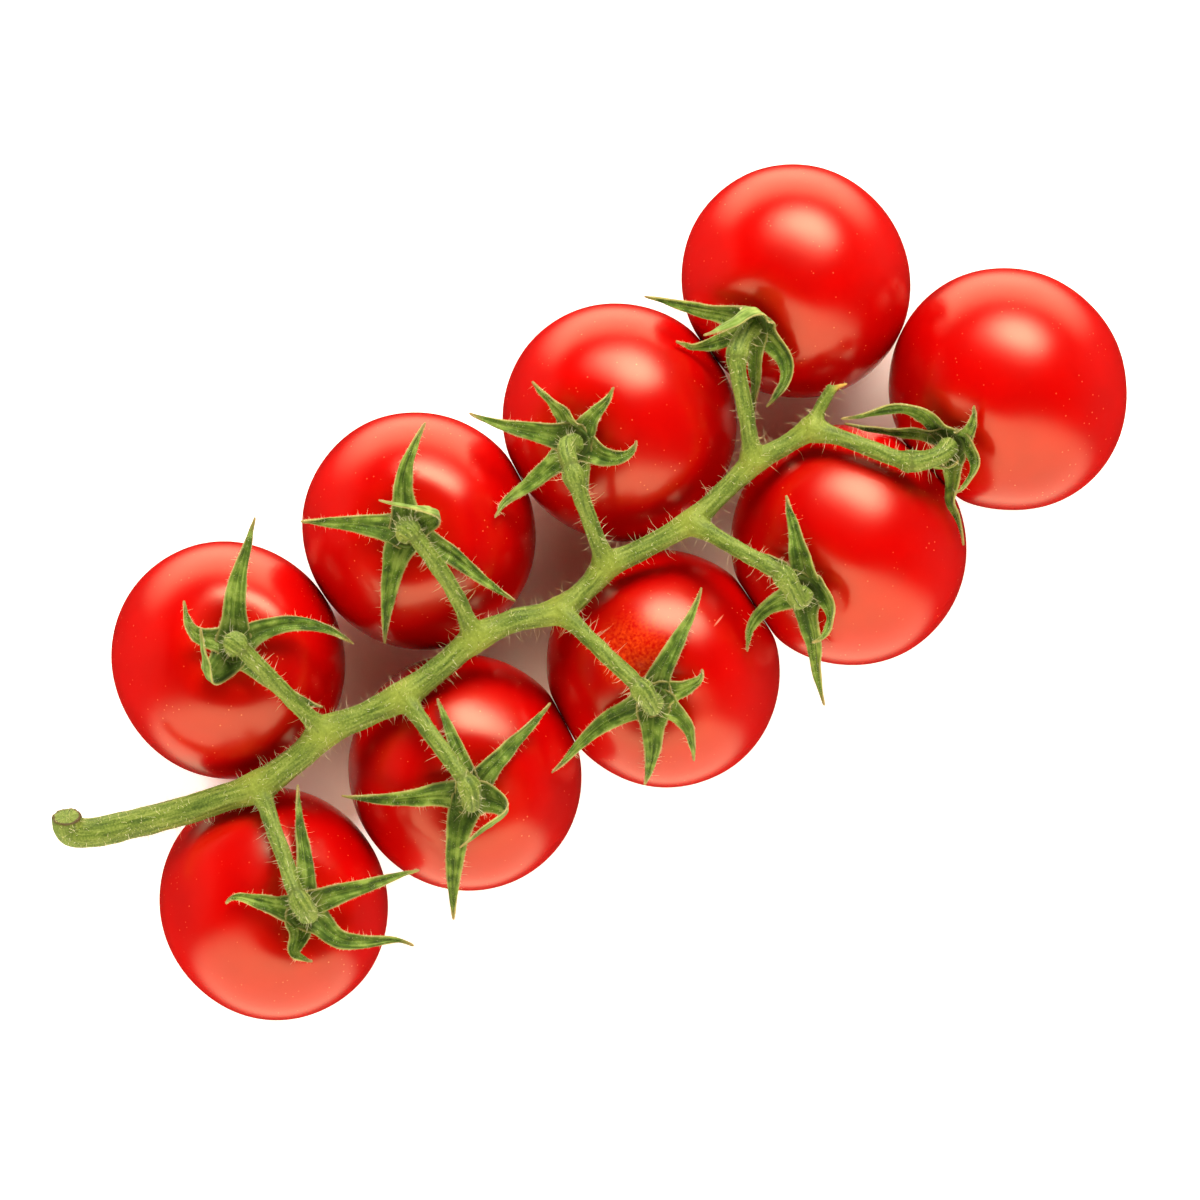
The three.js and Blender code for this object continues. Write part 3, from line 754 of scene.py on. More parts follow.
# Length, width at the root, and the ways: where the sepal heads, as compass turn and rise in degrees.
SEPALS = [
    [
        (19.5, 4.1, [(60, 12), (54, 8), (41, 0), (43, -5)]),
        (13.5, 3.4, [(103, 10), (143, 12), (110, 50), (67, 45), (62, 20)]),
        (16.0, 4.2, [(206, 5), (200, 15), (63, 60), (63, 20), (63, 5)]),
        (19.6, 3.4, [(11, 8), (-17, 0), (-47, -15), (-72, -35)]),
        (16.5, 3.0, [(-79, 5), (-67, -12), (-56, -28)]),
    ],
    [
        (17.0, 3.9, [(66, 22), (63, 16), (36, 5), (31, 0)]),
        (16.0, 3.9, [(132, 10), (145, -6), (146, -25)]),
        (17.2, 4.0, [(208, 5), (226, -6), (231, -20), (236, -25)]),
        (19.0, 3.4, [(-52, 5), (-72, -10), (-62, -24)]),
        (18.0, 3.7, [(8, 15), (-8, 40), (138, 60), (138, 10), (138, 0)]),
    ],
    [
        (16.3, 3.8, [(127, 5), (139, -3), (135, -3), (122, 0)]),
        (11.5, 3.4, [(82, 18), (87, 12), (109, 10), (95, 30)]),
        (10.5, 3.4, [(29, 30), (27, 25), (13, 20), (40, 30)]),
        (11.0, 3.7, [(-52, 5), (-56, 5), (-22, 35), (54, 30)]),
        (17.8, 3.6, [(193, 0), (188, -10), (183, -12), (191, -6)]),
        (8.0, 3.0, [(-103, -5), (-117, -25)]),
    ],
    [
        (16.8, 3.5, [(121, 15), (140, -12), (133, -6), (136, 8)]),
        (13.4, 3.2, [(180, -12), (170, -18), (158, -10), (152, 0)]),
        (14.5, 4.6, [(51, 55), (60, 65), (185, 25), (178, -15), (165, -20)]),
        (15.0, 3.8, [(-78, 5), (-74, 5), (-110, 0), (-158, -15), (-165, -25)]),
        (15.0, 3.0, [(-120, -12), (-122, -28), (-131, -38)]),
    ],
    [
        (19.0, 3.2, [(110, 15), (98, 28), (145, 0), (168, -12), (150, -5)]),
        (16.2, 2.9, [(128, 0), (146, -8), (133, 0)]),
        (9.5, 2.6, [(-17, 35), (40, 50), (68, 45)]),
        (11.8, 3.2, [(-2, 30), (-98, 18), (-148, 0), (175, 0)]),
        (16.2, 3.2, [(-118, -12), (-127, -22), (-131, -25), (-140, -18)]),
        (9.5, 2.8, [(190, -20), (200, -5), (-10, 50), (-2, 25)]),
    ],
    [
        (14.4, 4.0, [(60, 22), (68, 15), (80, 2), (67, 0)]),
        (12.5, 3.6, [(15, 30), (-83, 22), (-112, 15), (-148, 0), (157, 0)]),
        (18.4, 3.7, [(-130, -8), (-104, -20), (-118, -28), (-112, -25), (-106, -12)]),
        (14.8, 3.4, [(162, -10), (175, -8), (209, -8), (209, -10)]),
        (10.0, 3.0, [(92, 5), (137, -12)]),
    ],
    [
        (17.8, 3.6, [(52, 15), (30, 5), (28, -4), (43, -6)]),
        (10.4, 3.3, [(4, 15), (-20, 10), (-2, 35), (84, 50)]),
        (11.8, 3.3, [(-52, 6), (-72, 0), (-111, -12), (-119, -22)]),
        (14.6, 3.8, [(-125, 0), (-122, -20), (-132, -38), (-138, -45)]),
        (18.8, 3.5, [(171, 0), (171, -8), (187, -12), (198, -10), (189, -5)]),
        (7.8, 3.0, [(100, 5), (100, -12)]),
    ],
    [
        (18.4, 3.6, [(34, 12), (14, 0), (12, -14), (20, -22)]),
        (17.4, 3.8, [(-28, 12), (-55, 25), (184, 55), (184, -5), (184, -15)]),
        (20.2, 4.0, [(-150, 0), (-128, -14), (-125, -30), (-119, -42)]),
        (19.2, 3.8, [(130, 5), (159, -4), (148, -16), (141, -16)]),
        (14.4, 3.2, [(66, 0), (81, -12), (78, -22)]),
    ],
    [
        (18.8, 3.3, [(52, 5), (65, -8), (60, -22)]),
        (18.2, 3.6, [(10, 10), (-19, 2), (-13, -4), (-19, -4)]),
        (17.8, 3.6, [(-57, 5), (-80, -8), (-32, -8), (-24, 0), (-65, -10)]),
        (9.4, 3.7, [(-150, 0), (-129, -8), (-144, 5), (-60, 20), (-43, 10)]),
        (11.0, 3.7, [(135, 5), (138, -8), (130, -8), (137, -5), (-115, -50)]),
    ],
]


def heading(way):
    turn, rise = radians(way[0]), radians(way[1])
    return Vector((cos(turn) * cos(rise), sin(turn) * cos(rise), sin(rise)))


def way_at(ways, share):
    at = share * (len(ways) - 1)
    k = min(int(at), len(ways) - 2)
    return heading(ways[k]).lerp(heading(ways[k + 1]), at - k).normalized()


def clear_of_stem(point):
    for strand in strands:
        for centre, radius in zip(strand["line"][::3], strand["radii"][::3]):
            off = point - centre
            if off.length < radius + SEPAL_OFF_STEM:
                point = centre + off.normalized() * (radius + SEPAL_OFF_STEM)
    return point


def sepal_line(root, length, ways):
    """The middle line of a sepal: it follows its ways, and gives way to the stem and to the fruits."""
    line = [root.copy()]
    point = root.copy()
    for k in range(BLADE_STEPS):
        point = point + way_at(ways, (k + 0.5) / BLADE_STEPS) * (length / BLADE_STEPS)
        if k < 1:
            line.append(point.copy())
        else:
            line.append(clear_of_fruits(clear_of_stem(point), SEPAL_CLEAR))
    for turn in range(2):
        line[1:-1] = [(a + 2 * b + c) / 4 for a, b, c in zip(line, line[1:], line[2:])]
    return line


print("sepals:", sum(len(sepals) for sepals in SEPALS))

# %% One blade from a grid
bpy.ops.mesh.primitive_grid_add(x_subdivisions=BLADE_STEPS, y_subdivisions=BLADE_ROWS, size=1, calc_uvs=True)
blade = bpy.context.object
blade.name = "blade"
xs = sorted({round(v.co.x, 5) for v in blade.data.vertices})
print("blade rows:", len(xs), "by", len(blade.data.vertices) // len(xs))


def blade_width(share, length):
    """It is widest where it grows together with its neighbours, and tapers to a fine point."""
    taper = 0.03 + 0.97 * (1 - share) ** 0.9 * (1 + 0.7 * share * (1 - share))
    return taper * (1 + WEB_FLARE * bump(share * length, WEB_REACH))


edge_hairs = []  # the roots, ways and lengths of the down on the sepals


def make_sepal(calyx_number, k, root, axis, sepal):
    length, width, ways = sepal
    luck = random.Random(100 * calyx_number + k)
    line = sepal_line(root, length, ways)
    up = axis.copy()
    twist_way = -1 if k % 2 else 1
    rows = []
    for step, place in enumerate(line):
        along = (line[min(step + 1, BLADE_STEPS)] - line[max(step - 1, 0)]).normalized()
        up = (up - along * up.dot(along)).normalized()
        share = step / BLADE_STEPS
        turned = Matrix.Rotation(radians(SEPAL_TWIST * twist_way * share), 3, along) @ up
        rows.append((place, turned.cross(along), turned))
    piece = blade.copy()
    piece.data = blade.data.copy()
    bpy.context.scene.collection.objects.link(piece)
    phase, waves, own = luck.uniform(0, 6.28), luck.uniform(2.0, 3.4), luck.uniform(0, 90)

    def on_blade(u, v):
        low = min(int(u * BLADE_STEPS), BLADE_STEPS - 1)
        place, side, normal = [a.lerp(b, u * BLADE_STEPS - low) for a, b in zip(rows[low], rows[low + 1])]
        free = min(1, 4 * u) * (1 - 0.6 * u)
        half = width * blade_width(u, length) / 2 * (1 + 0.10 * noise.noise(Vector((own, 7 * u, v > 0))))
        cup = half * SEPAL_CUP * min(1, 0.3 + 3 * u) * abs(v) ** 1.5
        rim = RIM_WAVE * sin(2 * pi * waves * u + phase + (1.6 if v > 0 else 0)) * abs(v) ** 3 * free
        groove = -GROOVE_DEPTH * bump(v, 0.18) * (1 - u)
        vein = VEIN_HEIGHT * bump(abs(v) - 0.48, 0.17) * (1 - u)
        crumple = CRUMPLE * noise.noise(Vector((own, u * length / 2.2, v * half / 0.8))) * free
        return place + side * (half * v) + normal * (cup + rim + groove + vein + crumple), side, normal

    for vertex in piece.data.vertices:
        vertex.co = on_blade(vertex.co.x + 0.5, vertex.co.y * 2)[0] * MM
    own_mark = piece.data.attributes.new("own", "FLOAT", "POINT")
    own_mark.data.foreach_set("value", [own] * len(piece.data.vertices))
    for n in range(int(length * EDGE_HAIRS_PER_MM)):
        u, v = luck.uniform(0.04, 0.98), luck.choice((-1, 1))
        place, side, normal = on_blade(u, v)
        reach = luck.uniform(0.7, 1.4) if luck.random() < 0.07 else luck.uniform(0.12, 0.4)
        edge_hairs.append((place, (side * v + normal * luck.uniform(-0.8, 0.9)).normalized(), reach))
    for n in range(int(length * FACE_HAIRS_PER_MM)):
        place, side, normal = on_blade(luck.uniform(0.06, 0.9), luck.uniform(-0.9, 0.9))
        root_at = place + normal * (SEPAL_THICK / 2)
        way = (normal + side * luck.uniform(-0.9, 0.9)).normalized()
        edge_hairs.append((root_at, way, luck.uniform(0.15, 0.4)))
    apply_modifier(piece, "SOLIDIFY", thickness=SEPAL_THICK * MM, offset=0.0, material_offset=1, use_rim=True)
    apply_modifier(piece, "SUBSURF", levels=1, render_levels=1)
    return piece


# %% [markdown]
# The disc is a short cylinder with a rounded rim and a hollow top, tipped to face along the stalk. The end
# of the stalk stands in the hollow, ringed by shade and by painted shade: the disc takes the sepals' dark
# root colour.

# %% Discs, and each calyx as one piece
def make_disc(fruit):
    bpy.ops.mesh.primitive_cylinder_add(vertices=24, radius=1, depth=1)
    disc = bpy.context.object
    pick(disc)
    bpy.ops.object.mode_set(mode="EDIT")
    bpy.ops.mesh.select_mode(type="FACE")
    bpy.ops.mesh.select_all(action="DESELECT")
    bpy.ops.object.mode_set(mode="OBJECT")
    for face in disc.data.polygons:
        face.select = face.normal.z > 0.9
    bpy.ops.object.mode_set(mode="EDIT")
    bpy.ops.mesh.inset(thickness=0.2)
    bpy.ops.mesh.inset(thickness=0.2)
    bpy.ops.transform.translate(value=(0, 0, -0.3))
    bpy.ops.object.mode_set(mode="OBJECT")
    for vertex in disc.data.vertices:
        rim = hypot(vertex.co.x, vertex.co.y)
        raised = DISC_LIFT + 0.1 + 0.45 * max(0, rim - 0.5)
        height = vertex.co.z * (DISC_THICK - DISC_GIVE) + DISC_THICK / 2 + raised
        local = Vector((vertex.co.x * DISC_RADIUS, vertex.co.y * DISC_RADIUS, height))
        vertex.co = (fruit["turn"] @ local + fruit["pit"]) * MM
    for corner in disc.data.uv_layers.active.data:
        corner.uv = (0.04, 0.35)  # painted shade: the dark root colour of a sepal, off its midrib and rim
    disc.data.materials.clear()
    disc.data.materials.append(leaf_top)
    apply_modifier(disc, "SUBSURF", levels=2, render_levels=2)
    return disc


def make_calyx(number, fruit, sepals):
    root = fruit["pit"] + fruit["axis"] * (DISC_LIFT + DISC_THICK * 0.5)
    blades = [make_sepal(number, k, root, fruit["axis"], sepal) for k, sepal in enumerate(sepals)]
    return smooth_shaded(join([*blades, make_disc(fruit)], f"calyx_{number}_leaves"))


# %% [markdown]
# ### Tomato skin
# A ripe tomato's skin is a thin clear wax over red flesh, so it is glossy, with a warm shine whose edge is
# soft. Its red is almost free of green and blue. Up close it has pale pinpoint specks, and the shoulders
# near the stalk are a little more orange. One fruit is mottled orange beside its calyx and has a short pale
# scratch.

# %% Tomato skin
CLOUD = 11.0  # mm, how wide the lighter and deeper reds are
SPECK_APART = 1.1  # mm from one pale speck to the next
SPECK_PATCH = 6  # mm, how wide the patches with and without specks are
PEEL = 0.45  # mm, how wide the fine unevenness of the wax is
MOTTLE = 0.45  # mm, how wide the orange spots of the mottled fruit are
SCAR_FROM = 3.06  # radians from the crown, where the round scar at the far end starts
SCRATCH = (1.3, 0.16, 3.0)  # mm, half its length, half its width and how deep it is looked for
SCRATCH_AT = (8.0, 7.0, 13.3)  # mm to the right, up the picture and up, from the fruit's middle


def new_material(name, values):
    """A material with one Principled shader, whose plain values are set on its own sockets."""
    material = bpy.data.materials.new(name)
    material.use_nodes = True
    shader = material.node_tree.nodes["Principled BSDF"]
    for socket, value in values.items():
        shader.inputs[socket].default_value = linear(value) if isinstance(value, str) else value
    return material, material.node_tree, shader


skin, tree, shader = new_material(
    "waxy_tomato_skin",
    {
        "Roughness": 0.24, "IOR": 1.5, "Specular Tint": "#FFEDD0",
        "Subsurface Weight": 0.5, "Subsurface Radius": (1.0, 0.06, 0.02), "Subsurface Scale": 0.005,
    },
)
place = add_node(tree, "ShaderNodeTexCoord").outputs["Object"]
cloud = add_node(
    tree, "ShaderNodeTexNoise", {0: place, "Scale": 1 / (CLOUD * MM), "Detail": 3.0}
).outputs["Fac"]
red = add_node(tree, "ShaderNodeValToRGB", {0: cloud}, stops=[(0.3, "#AA0000"), (0.7, "#BB0000")]).outputs[0]
crown = add_node(tree, "ShaderNodeAttribute", attribute_name="from_crown").outputs["Fac"]
near_pit = add_node(
    tree, "ShaderNodeMath", {0: crown, 1: -1.3, 2: 0.75}, operation="MULTIPLY_ADD", use_clamp=True
).outputs[0]
warm = add_node(tree, "ShaderNodeMix", {0: near_pit, 6: red, 7: "#C81A00"}, data_type="RGBA").outputs[2]

# %% Its mottling
mottle_mark = add_node(tree, "ShaderNodeAttribute", attribute_name="mottle").outputs["Fac"]
blotch = add_node(
    tree, "ShaderNodeTexNoise", {0: place, "Scale": 1 / (MOTTLE * MM), "Detail": 2.0}
).outputs["Fac"]
spots = add_node(
    tree, "ShaderNodeValToRGB", {0: blotch}, stops=[(0.34, "#000000"), (0.72, "#FFFFFF")]
).outputs[0]
mottled = add_node(tree, "ShaderNodeMath", {0: mottle_mark, 1: spots}, operation="MULTIPLY").outputs[0]
orange = add_node(tree, "ShaderNodeMix", {0: mottled, 6: warm, 7: "#E24A14"}, data_type="RGBA").outputs[2]

# %% Its specks, scar and scratch
specks = add_node(tree, "ShaderNodeTexVoronoi", {0: place, "Scale": 1 / (SPECK_APART * MM)})
speck = add_node(
    tree, "ShaderNodeMapRange", {0: specks.outputs["Distance"], 1: 0.13, 2: 0.07, 4: 0.5}
).outputs[0]
patchy = add_node(tree, "ShaderNodeTexNoise", {0: place, "Scale": 1 / (SPECK_PATCH * MM)}).outputs["Fac"]
some = add_node(tree, "ShaderNodeMapRange", {0: patchy, 1: 0.45, 2: 0.6}).outputs[0]
speckled = add_node(tree, "ShaderNodeMath", {0: speck, 1: some}, operation="MULTIPLY").outputs[0]
pale = add_node(tree, "ShaderNodeMix", {0: speckled, 6: orange, 7: "#FF8058"}, data_type="RGBA").outputs[2]
scar = add_node(tree, "ShaderNodeMath", {0: crown, 1: SCAR_FROM}, operation="GREATER_THAN").outputs[0]
scarred = add_node(tree, "ShaderNodeMix", {0: scar, 6: pale, 7: "#6B3A1E"}, data_type="RGBA").outputs[2]
MOTTLED = FRUITS[6]  # the fruit in the middle of the front row
right, up, above = SCRATCH_AT
scratch_place = MOTTLED["middle"] + picture_right * right + picture_up * up + Vector((0, 0, above))
scratch_turn = (0, 0, radians(50) - ROLL)
in_scratch = add_node(
    tree, "ShaderNodeMapping",
    {0: place, 1: scratch_place * MM, 2: scratch_turn, 3: Vector(SCRATCH) * MM}, vector_type="TEXTURE",
).outputs[0]
scratch_way = add_node(tree, "ShaderNodeVectorMath", {0: in_scratch}, operation="LENGTH").outputs["Value"]
scratched = add_node(tree, "ShaderNodeMapRange", {0: scratch_way, 1: 1.0, 2: 0.5, 4: 0.7}).outputs[0]
final = add_node(tree, "ShaderNodeMix", {0: scratched, 6: scarred, 7: "#F0A080"}, data_type="RGBA").outputs[2]
tree.links.new(final, shader.inputs["Base Color"])
peel = add_node(
    tree, "ShaderNodeTexNoise", {0: place, "Scale": 1 / (PEEL * MM), "Detail": 2.0}
).outputs["Fac"]
dent = add_node(tree, "ShaderNodeBump", {"Height": peel, "Strength": 0.12, "Distance": 0.05 * MM}).outputs[0]
tree.links.new(dent, shader.inputs["Normal"])
print("skin nodes:", len(tree.nodes))

# %% [markdown]
# ### Sepals
# A sepal is a thin leaf under fine down: matt, mid green inside with darker clouds, streaked from root to
# tip by its veins, and paler on its back. Its root is painted dark as painted shade where it meets the disc.
# Its rim is straw coloured: partly a thin dry edge, partly a painted highlight along it. The streaks follow
# the leaf, so they are drawn in its own UV map, and each sepal looks up another part of the same noise.

# %% Sepal upper side and back
STREAKS_ACROSS = 5.0  # light and dark streaks over the width of a sepal
STREAK_LENGTH = 0.5  # as a share of the sepal's length
LEAF_CLOUD = 1.8  # mm, how wide the darker clouds are
LEAF_GRAIN = 0.35  # mm, the down, drawn as coarse as it needs to show
LEAF_STREAK_RELIEF = 1.4  # how much deeper the streaks are than the grain


def sepal_material(name, dark, middle, light, dry_rim_and_edge_highlight):
    leaf, tree, shader = new_material(
        name,
        {
            "Roughness": 0.65, "IOR": 1.4, "Specular IOR Level": 0.3,
            "Sheen Weight": 0.12, "Sheen Roughness": 0.4,
        },
    )
    uv = add_node(tree, "ShaderNodeUVMap", uv_map="UVMap").outputs["UV"]
    parts = add_node(tree, "ShaderNodeSeparateXYZ", {0: uv})
    own = add_node(tree, "ShaderNodeAttribute", attribute_name="own").outputs["Fac"]
    along, across = [
        add_node(tree, "ShaderNodeMath", {0: parts.outputs[k], 1: streaks}, operation="MULTIPLY").outputs[0]
        for k, streaks in enumerate((1 / STREAK_LENGTH, STREAKS_ACROSS))
    ]
    drawn_out = add_node(tree, "ShaderNodeCombineXYZ", {0: along, 1: across, 2: own}).outputs[0]
    streak = add_node(tree, "ShaderNodeTexNoise", {0: drawn_out, "Scale": 1.0, "Detail": 3.0}).outputs["Fac"]
    place = add_node(tree, "ShaderNodeTexCoord").outputs["Object"]
    cloud = add_node(
        tree, "ShaderNodeTexNoise", {0: place, "Scale": 1 / (LEAF_CLOUD * MM), "Detail": 4.0}
    ).outputs["Fac"]
    tone = add_node(tree, "ShaderNodeMath", {0: streak, 1: cloud}, operation="ADD").outputs[0]
    half_tone = add_node(tree, "ShaderNodeMath", {0: tone, 1: 0.5}, operation="MULTIPLY").outputs[0]
    green = add_node(
        tree, "ShaderNodeValToRGB", {0: half_tone}, stops=[(0.40, dark), (0.50, middle), (0.62, light)]
    ).outputs[0]
    to_middle = add_node(
        tree, "ShaderNodeMath", {0: parts.outputs[1], 1: 2.0, 2: -1.0}, operation="MULTIPLY_ADD"
    ).outputs[0]
    from_middle = add_node(tree, "ShaderNodeMath", {0: to_middle}, operation="ABSOLUTE").outputs[0]
    colour = green
    for measure, start, full, share, over in (
        (from_middle, 0.10, 0.02, 0.35, light),  # the midrib
        (parts.outputs[0], 0.30, 0.06, 0.7, "#2C3F10"),  # painted shade at the sepal's root, where it meets the disc
        # the rim: a thin dry straw edge, with a painted highlight along it
        (from_middle, 0.84, 1.0, 0.6, dry_rim_and_edge_highlight),
        (parts.outputs[0], 0.86, 0.99, 0.8, "#A08A58"),  # the dry tip
    ):
        cover = add_node(tree, "ShaderNodeMapRange", {0: measure, 1: start, 2: full, 4: share}).outputs[0]
        colour = add_node(tree, "ShaderNodeMix", {0: cover, 6: colour, 7: over}, data_type="RGBA").outputs[2]
    tree.links.new(colour, shader.inputs["Base Color"])
    grain = add_node(
        tree, "ShaderNodeTexNoise", {0: place, "Scale": 1 / (LEAF_GRAIN * MM), "Detail": 3.0}
    ).outputs["Fac"]
    height = add_node(
        tree, "ShaderNodeMath", {0: streak, 1: LEAF_STREAK_RELIEF, 2: grain}, operation="MULTIPLY_ADD"
    ).outputs[0]
    dent = add_node(
        tree, "ShaderNodeBump", {"Height": height, "Strength": 0.7, "Distance": 0.25 * MM}
    ).outputs[0]
    tree.links.new(dent, shader.inputs["Normal"])
    return leaf


leaf_top = sepal_material("downy_sepal", "#2C460E", "#506E20", "#86A048", "#B4A86A")
leaf_back = sepal_material("downy_sepal_back", "#4A651F", "#6C8A3A", "#96AC5C", "#C0B67C")
print("leaves:", leaf_top.name, leaf_back.name)

# %% [markdown]
# ### Stem rind
# The stem is plant skin too, light yellow green and matt. It is streaked along its length, yellower at its
# nodes, flecked with small dark dots, brown round the cut, and straw coloured at its withered tip. The
# streaks read the fibre attribute, so they turn with every bend of the stem.

# %% Stem rind
STREAK_LONG = 5.0  # mm
STREAK_WIDE = 0.5  # mm
BLOTCH = 0.3  # mm, how wide the paler spots in the streaks are
DOT_APART = 1.2  # mm from one dark dot to the next
DOT_SHARE = 0.5  # how fully a dot covers the green
RIND_GRAIN = 0.3  # mm, the short down, drawn as coarse as it needs to show
STREAK_RELIEF = 3.5  # how much deeper the streaks are than the grain

rind, tree, shader = new_material(
    "hairy_green_rind",
    {
        "Roughness": 0.55, "IOR": 1.4, "Specular IOR Level": 0.35,
        "Sheen Weight": 0.04, "Sheen Roughness": 0.4,
    },
)
on_fibre = add_node(tree, "ShaderNodeAttribute", attribute_name="fibre").outputs["Vector"]
drawn_out = add_node(
    tree, "ShaderNodeMapping", {0: on_fibre, 3: (1 / STREAK_LONG, 1 / STREAK_WIDE, 1 / STREAK_WIDE)}
).outputs[0]
streak = add_node(tree, "ShaderNodeTexNoise", {0: drawn_out, "Scale": 1.0, "Detail": 4.0}).outputs["Fac"]
place = add_node(tree, "ShaderNodeTexCoord").outputs["Object"]
blotch = add_node(
    tree, "ShaderNodeTexNoise", {0: place, "Scale": 1 / (BLOTCH * MM), "Detail": 5.0}
).outputs["Fac"]
tone = add_node(tree, "ShaderNodeMix", {0: 0.4, 2: streak, 3: blotch}, data_type="FLOAT").outputs[0]
green = add_node(
    tree, "ShaderNodeValToRGB", {0: tone}, stops=[(0.36, "#3C541C"), (0.50, "#637A2F"), (0.64, "#879949")]
).outputs[0]
dots = add_node(tree, "ShaderNodeTexVoronoi", {0: place, "Scale": 1 / (DOT_APART * MM)})
dot = add_node(
    tree, "ShaderNodeMapRange", {0: dots.outputs["Distance"], 1: 0.18, 2: 0.10, 4: DOT_SHARE}
).outputs[0]
print("rind streaks and dots:", len(tree.nodes), "nodes")

# %% Its colours at the nodes, the dots, the rings, the cut and the withered tip
# How fully each mark's colour covers the green
MARK_SHARES = {"node": 0.5, "joint": 0.75, "dry": 1.0, "straw": 1.0}

covers = {"dot": dot}
for mark, share in MARK_SHARES.items():
    value = add_node(tree, "ShaderNodeAttribute", attribute_name=mark).outputs["Fac"]
    covers[mark] = add_node(tree, "ShaderNodeMath", {0: value, 1: share}, operation="MULTIPLY").outputs[0]
colour = green
for mark, over in (
    ("node", "#9AAA44"), ("dot", "#4A5A20"), ("joint", "#4F5E24"), ("dry", "#4A3B20"), ("straw", "#C09A48")
):
    mix = add_node(tree, "ShaderNodeMix", {0: covers[mark], 6: colour, 7: over}, data_type="RGBA")
    colour = mix.outputs[2]
tree.links.new(colour, shader.inputs["Base Color"])
grain = add_node(
    tree, "ShaderNodeTexNoise", {0: place, "Scale": 1 / (RIND_GRAIN * MM), "Detail": 3.0}
).outputs["Fac"]
height = add_node(
    tree, "ShaderNodeMath", {0: streak, 1: STREAK_RELIEF, 2: grain}, operation="MULTIPLY_ADD"
).outputs[0]
dent = add_node(tree, "ShaderNodeBump", {"Height": height, "Strength": 0.3, "Distance": 0.25 * MM}).outputs[0]
tree.links.new(dent, shader.inputs["Normal"])
print("rind nodes:", len(tree.nodes))

# %% Plant hair
# A hair is a row of clear cells, so it is pale and takes a little of the colour around it.
down, tree, shader = new_material("pale_plant_hair", {"Roughness": 0.45, "IOR": 1.4})
place = add_node(tree, "ShaderNodeTexCoord").outputs["Object"]
tone = add_node(tree, "ShaderNodeTexNoise", {0: place, "Scale": 1 / (3 * MM)}).outputs["Fac"]
straw = add_node(
    tree, "ShaderNodeValToRGB", {0: tone}, stops=[(0.35, "#DCD6A0"), (0.65, "#F2EED0")]
).outputs[0]
tree.links.new(straw, shader.inputs["Base Color"])
print("materials:", [m.name for m in (skin, leaf_top, leaf_back, rind, down)])

# %% Calyces
blade.data.materials.append(leaf_top)
blade.data.materials.append(leaf_back)
calyces = [make_calyx(number, fruit, SEPALS[number - 1]) for number, fruit in enumerate(FRUITS, 1)]
bpy.data.objects.remove(blade)
print("calyx faces:", [len(c.data.polygons) for c in calyces])

# %% Skin, mottling and rind
MOTTLE_REACH = 6.5  # mm
MOTTLE_AT = (-2.6, 6.6)  # mm to the right and up the picture, from the pit

mottle_middle = MOTTLED["pit"] + picture_up * MOTTLE_AT[1] + picture_right * MOTTLE_AT[0]
for tomato, fruit in zip(tomatoes, FRUITS):
    tomato.data.materials.clear()
    tomato.data.materials.append(skin)
    mark = tomato.data.attributes.new("mottle", "FLOAT", "POINT")
    if fruit is MOTTLED:
        for index, vertex in enumerate(tomato.data.vertices):
            from_middle = (vertex.co / MM - mottle_middle).length
            mark.data[index].value = max(0.0, 1 - (from_middle / MOTTLE_REACH) ** 2)
stem.data.materials.clear()
stem.data.materials.append(rind)
print("mottled:", tomatoes[FRUITS.index(MOTTLED)].name)

# %% [markdown]
# ## Hairs
# Tomato stems are covered in hairs: a short dense down, and sparse long hairs of one to two millimetres
# that stand straight out and catch the light. Sepals carry down on their rims. A particle system would give
# thousands of strands that don't export, so each hair is a three-sided spike with its root in the skin, and
# all the hairs of a piece are one mesh.

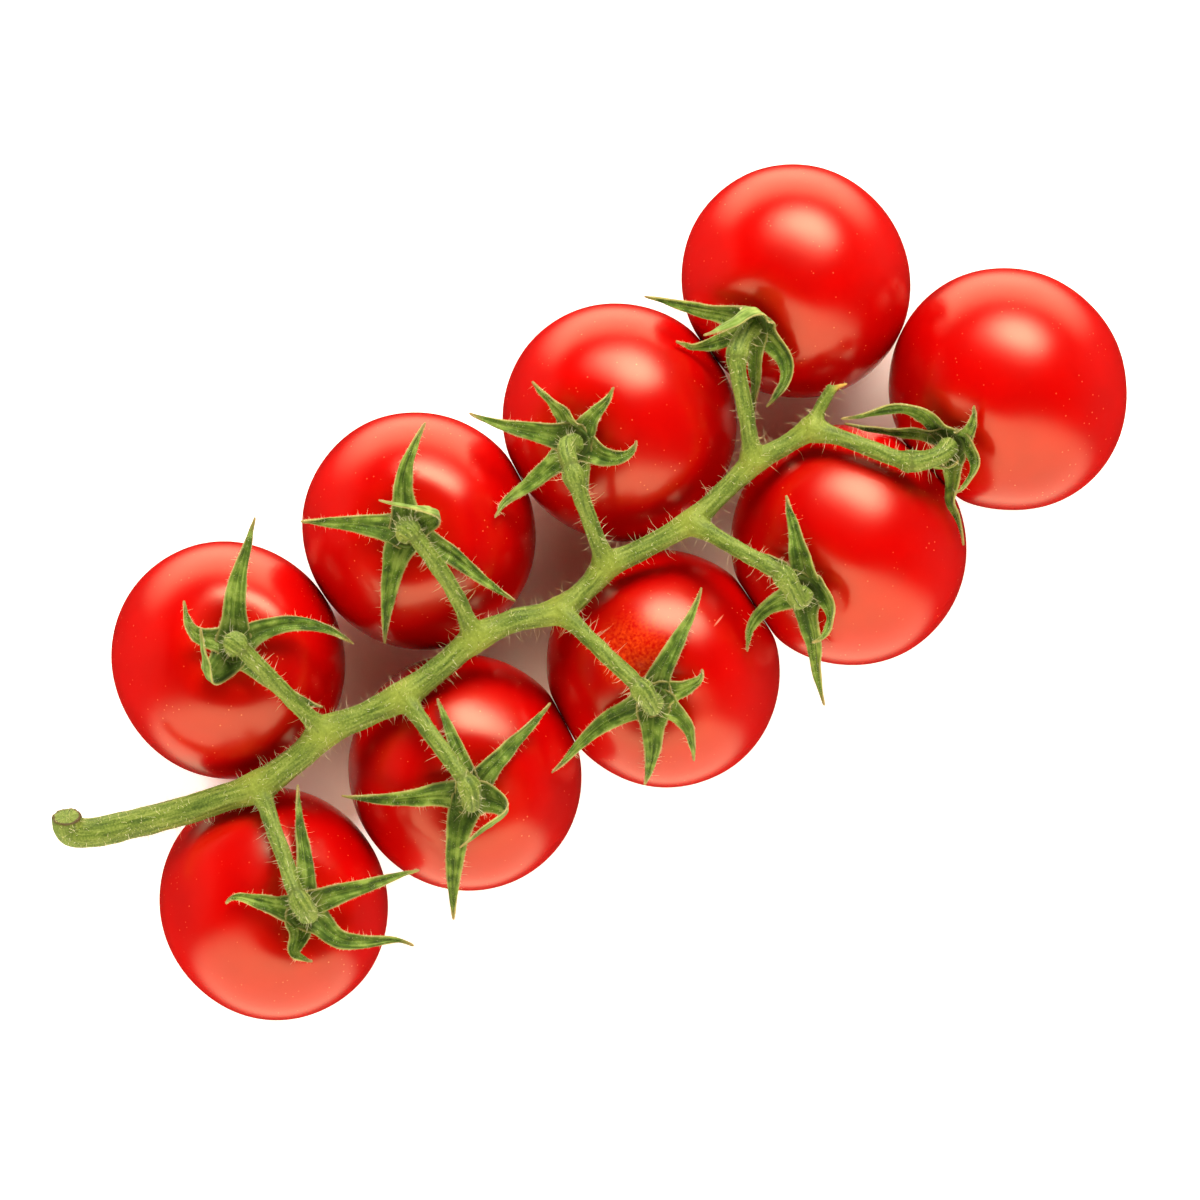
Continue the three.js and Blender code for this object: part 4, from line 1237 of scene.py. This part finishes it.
# %% Spikes
def hair_mesh(name, hairs):
    """One mesh of closed three-sided hairs, from their roots, ways, lengths, radii and bends in mm."""
    points, faces = [], []
    for root, way, length, radius, bend in hairs:
        side = way.orthogonal().normalized()
        other = way.cross(side)
        first = len(points)
        for along, width in ((0, 1), (0.5, 0.6)):
            centre = root + way * (length * along) + bend * (0.25 * along)
            for k in range(3):
                a = 2 * pi * k / 3
                points.append((centre + (side * cos(a) + other * sin(a)) * radius * width) * MM)
        points.append((root + way * length + bend) * MM)
        low, mid, tip = range(first, first + 3), range(first + 3, first + 6), first + 6
        faces.append((low[2], low[1], low[0]))
        for a, b in ((0, 1), (1, 2), (2, 0)):
            faces += [(low[a], low[b], mid[b], mid[a]), (mid[a], mid[b], tip)]
    mesh = bpy.data.meshes.new(name)
    mesh.from_pydata(points, [], faces)
    mesh.materials.append(down)
    piece = bpy.data.objects.new(name, mesh)
    bpy.context.scene.collection.objects.link(piece)
    return piece


def random_way(luck):
    return Vector((luck.gauss(0, 1), luck.gauss(0, 1), luck.gauss(0, 1))).normalized()


def above_fruits(place):
    return (clear_of_fruits(place, 0.05) - place).length < 1e-6 and place.z > 0.5


# %% Hairs of the stem and the sepals
LONG_HAIRS, SHORT_HAIRS = 2100, 4200
LONG_RADIUS, SHORT_RADIUS = 0.029, 0.017  # mm, a little thicker than real ones, which wouldn't show

luck = random.Random(7)
stem_points = [(v.co / MM, v.normal.copy()) for v in stem.data.vertices]
hairs = []
for place, normal in luck.sample(stem_points, LONG_HAIRS):
    way = (normal + random_way(luck) * 0.35).normalized()
    length = 0.8 + 1.7 * luck.random() ** 2
    bend = random_way(luck) * 0.3 * length
    if above_fruits(place + way * length + bend):
        hairs.append((place - normal * 0.1, way, length, LONG_RADIUS, bend))
for place, normal in luck.sample(stem_points, SHORT_HAIRS):
    way = (normal + random_way(luck) * 0.5).normalized()
    length = luck.uniform(0.2, 0.5)
    hairs.append((place - normal * 0.05, way, length, SHORT_RADIUS, random_way(luck) * 0.08))
stem_hairs = hair_mesh("stem_hairs", hairs)
leaf_down = [
    (place - way * 0.05, way, length, SHORT_RADIUS, random_way(luck) * 0.2 * length)
    for place, way, length in edge_hairs if above_fruits(place + way * length)
]
sepal_hairs = hair_mesh("sepal_hairs", leaf_down)
print("hairs:", len(hairs), "on the stem,", len(leaf_down), "on the sepals")

# %% [markdown]
# ## Putting it together
# Every piece rides on the one body of the truss. The skins, leaves and rind stand for the CAD solids, which
# stay behind them for collision.

# %% Ride and replace
for number, pair in enumerate(zip(tomatoes, calyces), 1):
    for piece, kind in zip(pair, ("tomato", "calyx")):
        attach(piece, "root")
        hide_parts(f"{kind}_{number}")
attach(stem, "root")
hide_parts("stem")
for piece, kind in ((stem_hairs, "stem"), (sepal_hairs, "calyx")):
    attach(piece, "root")
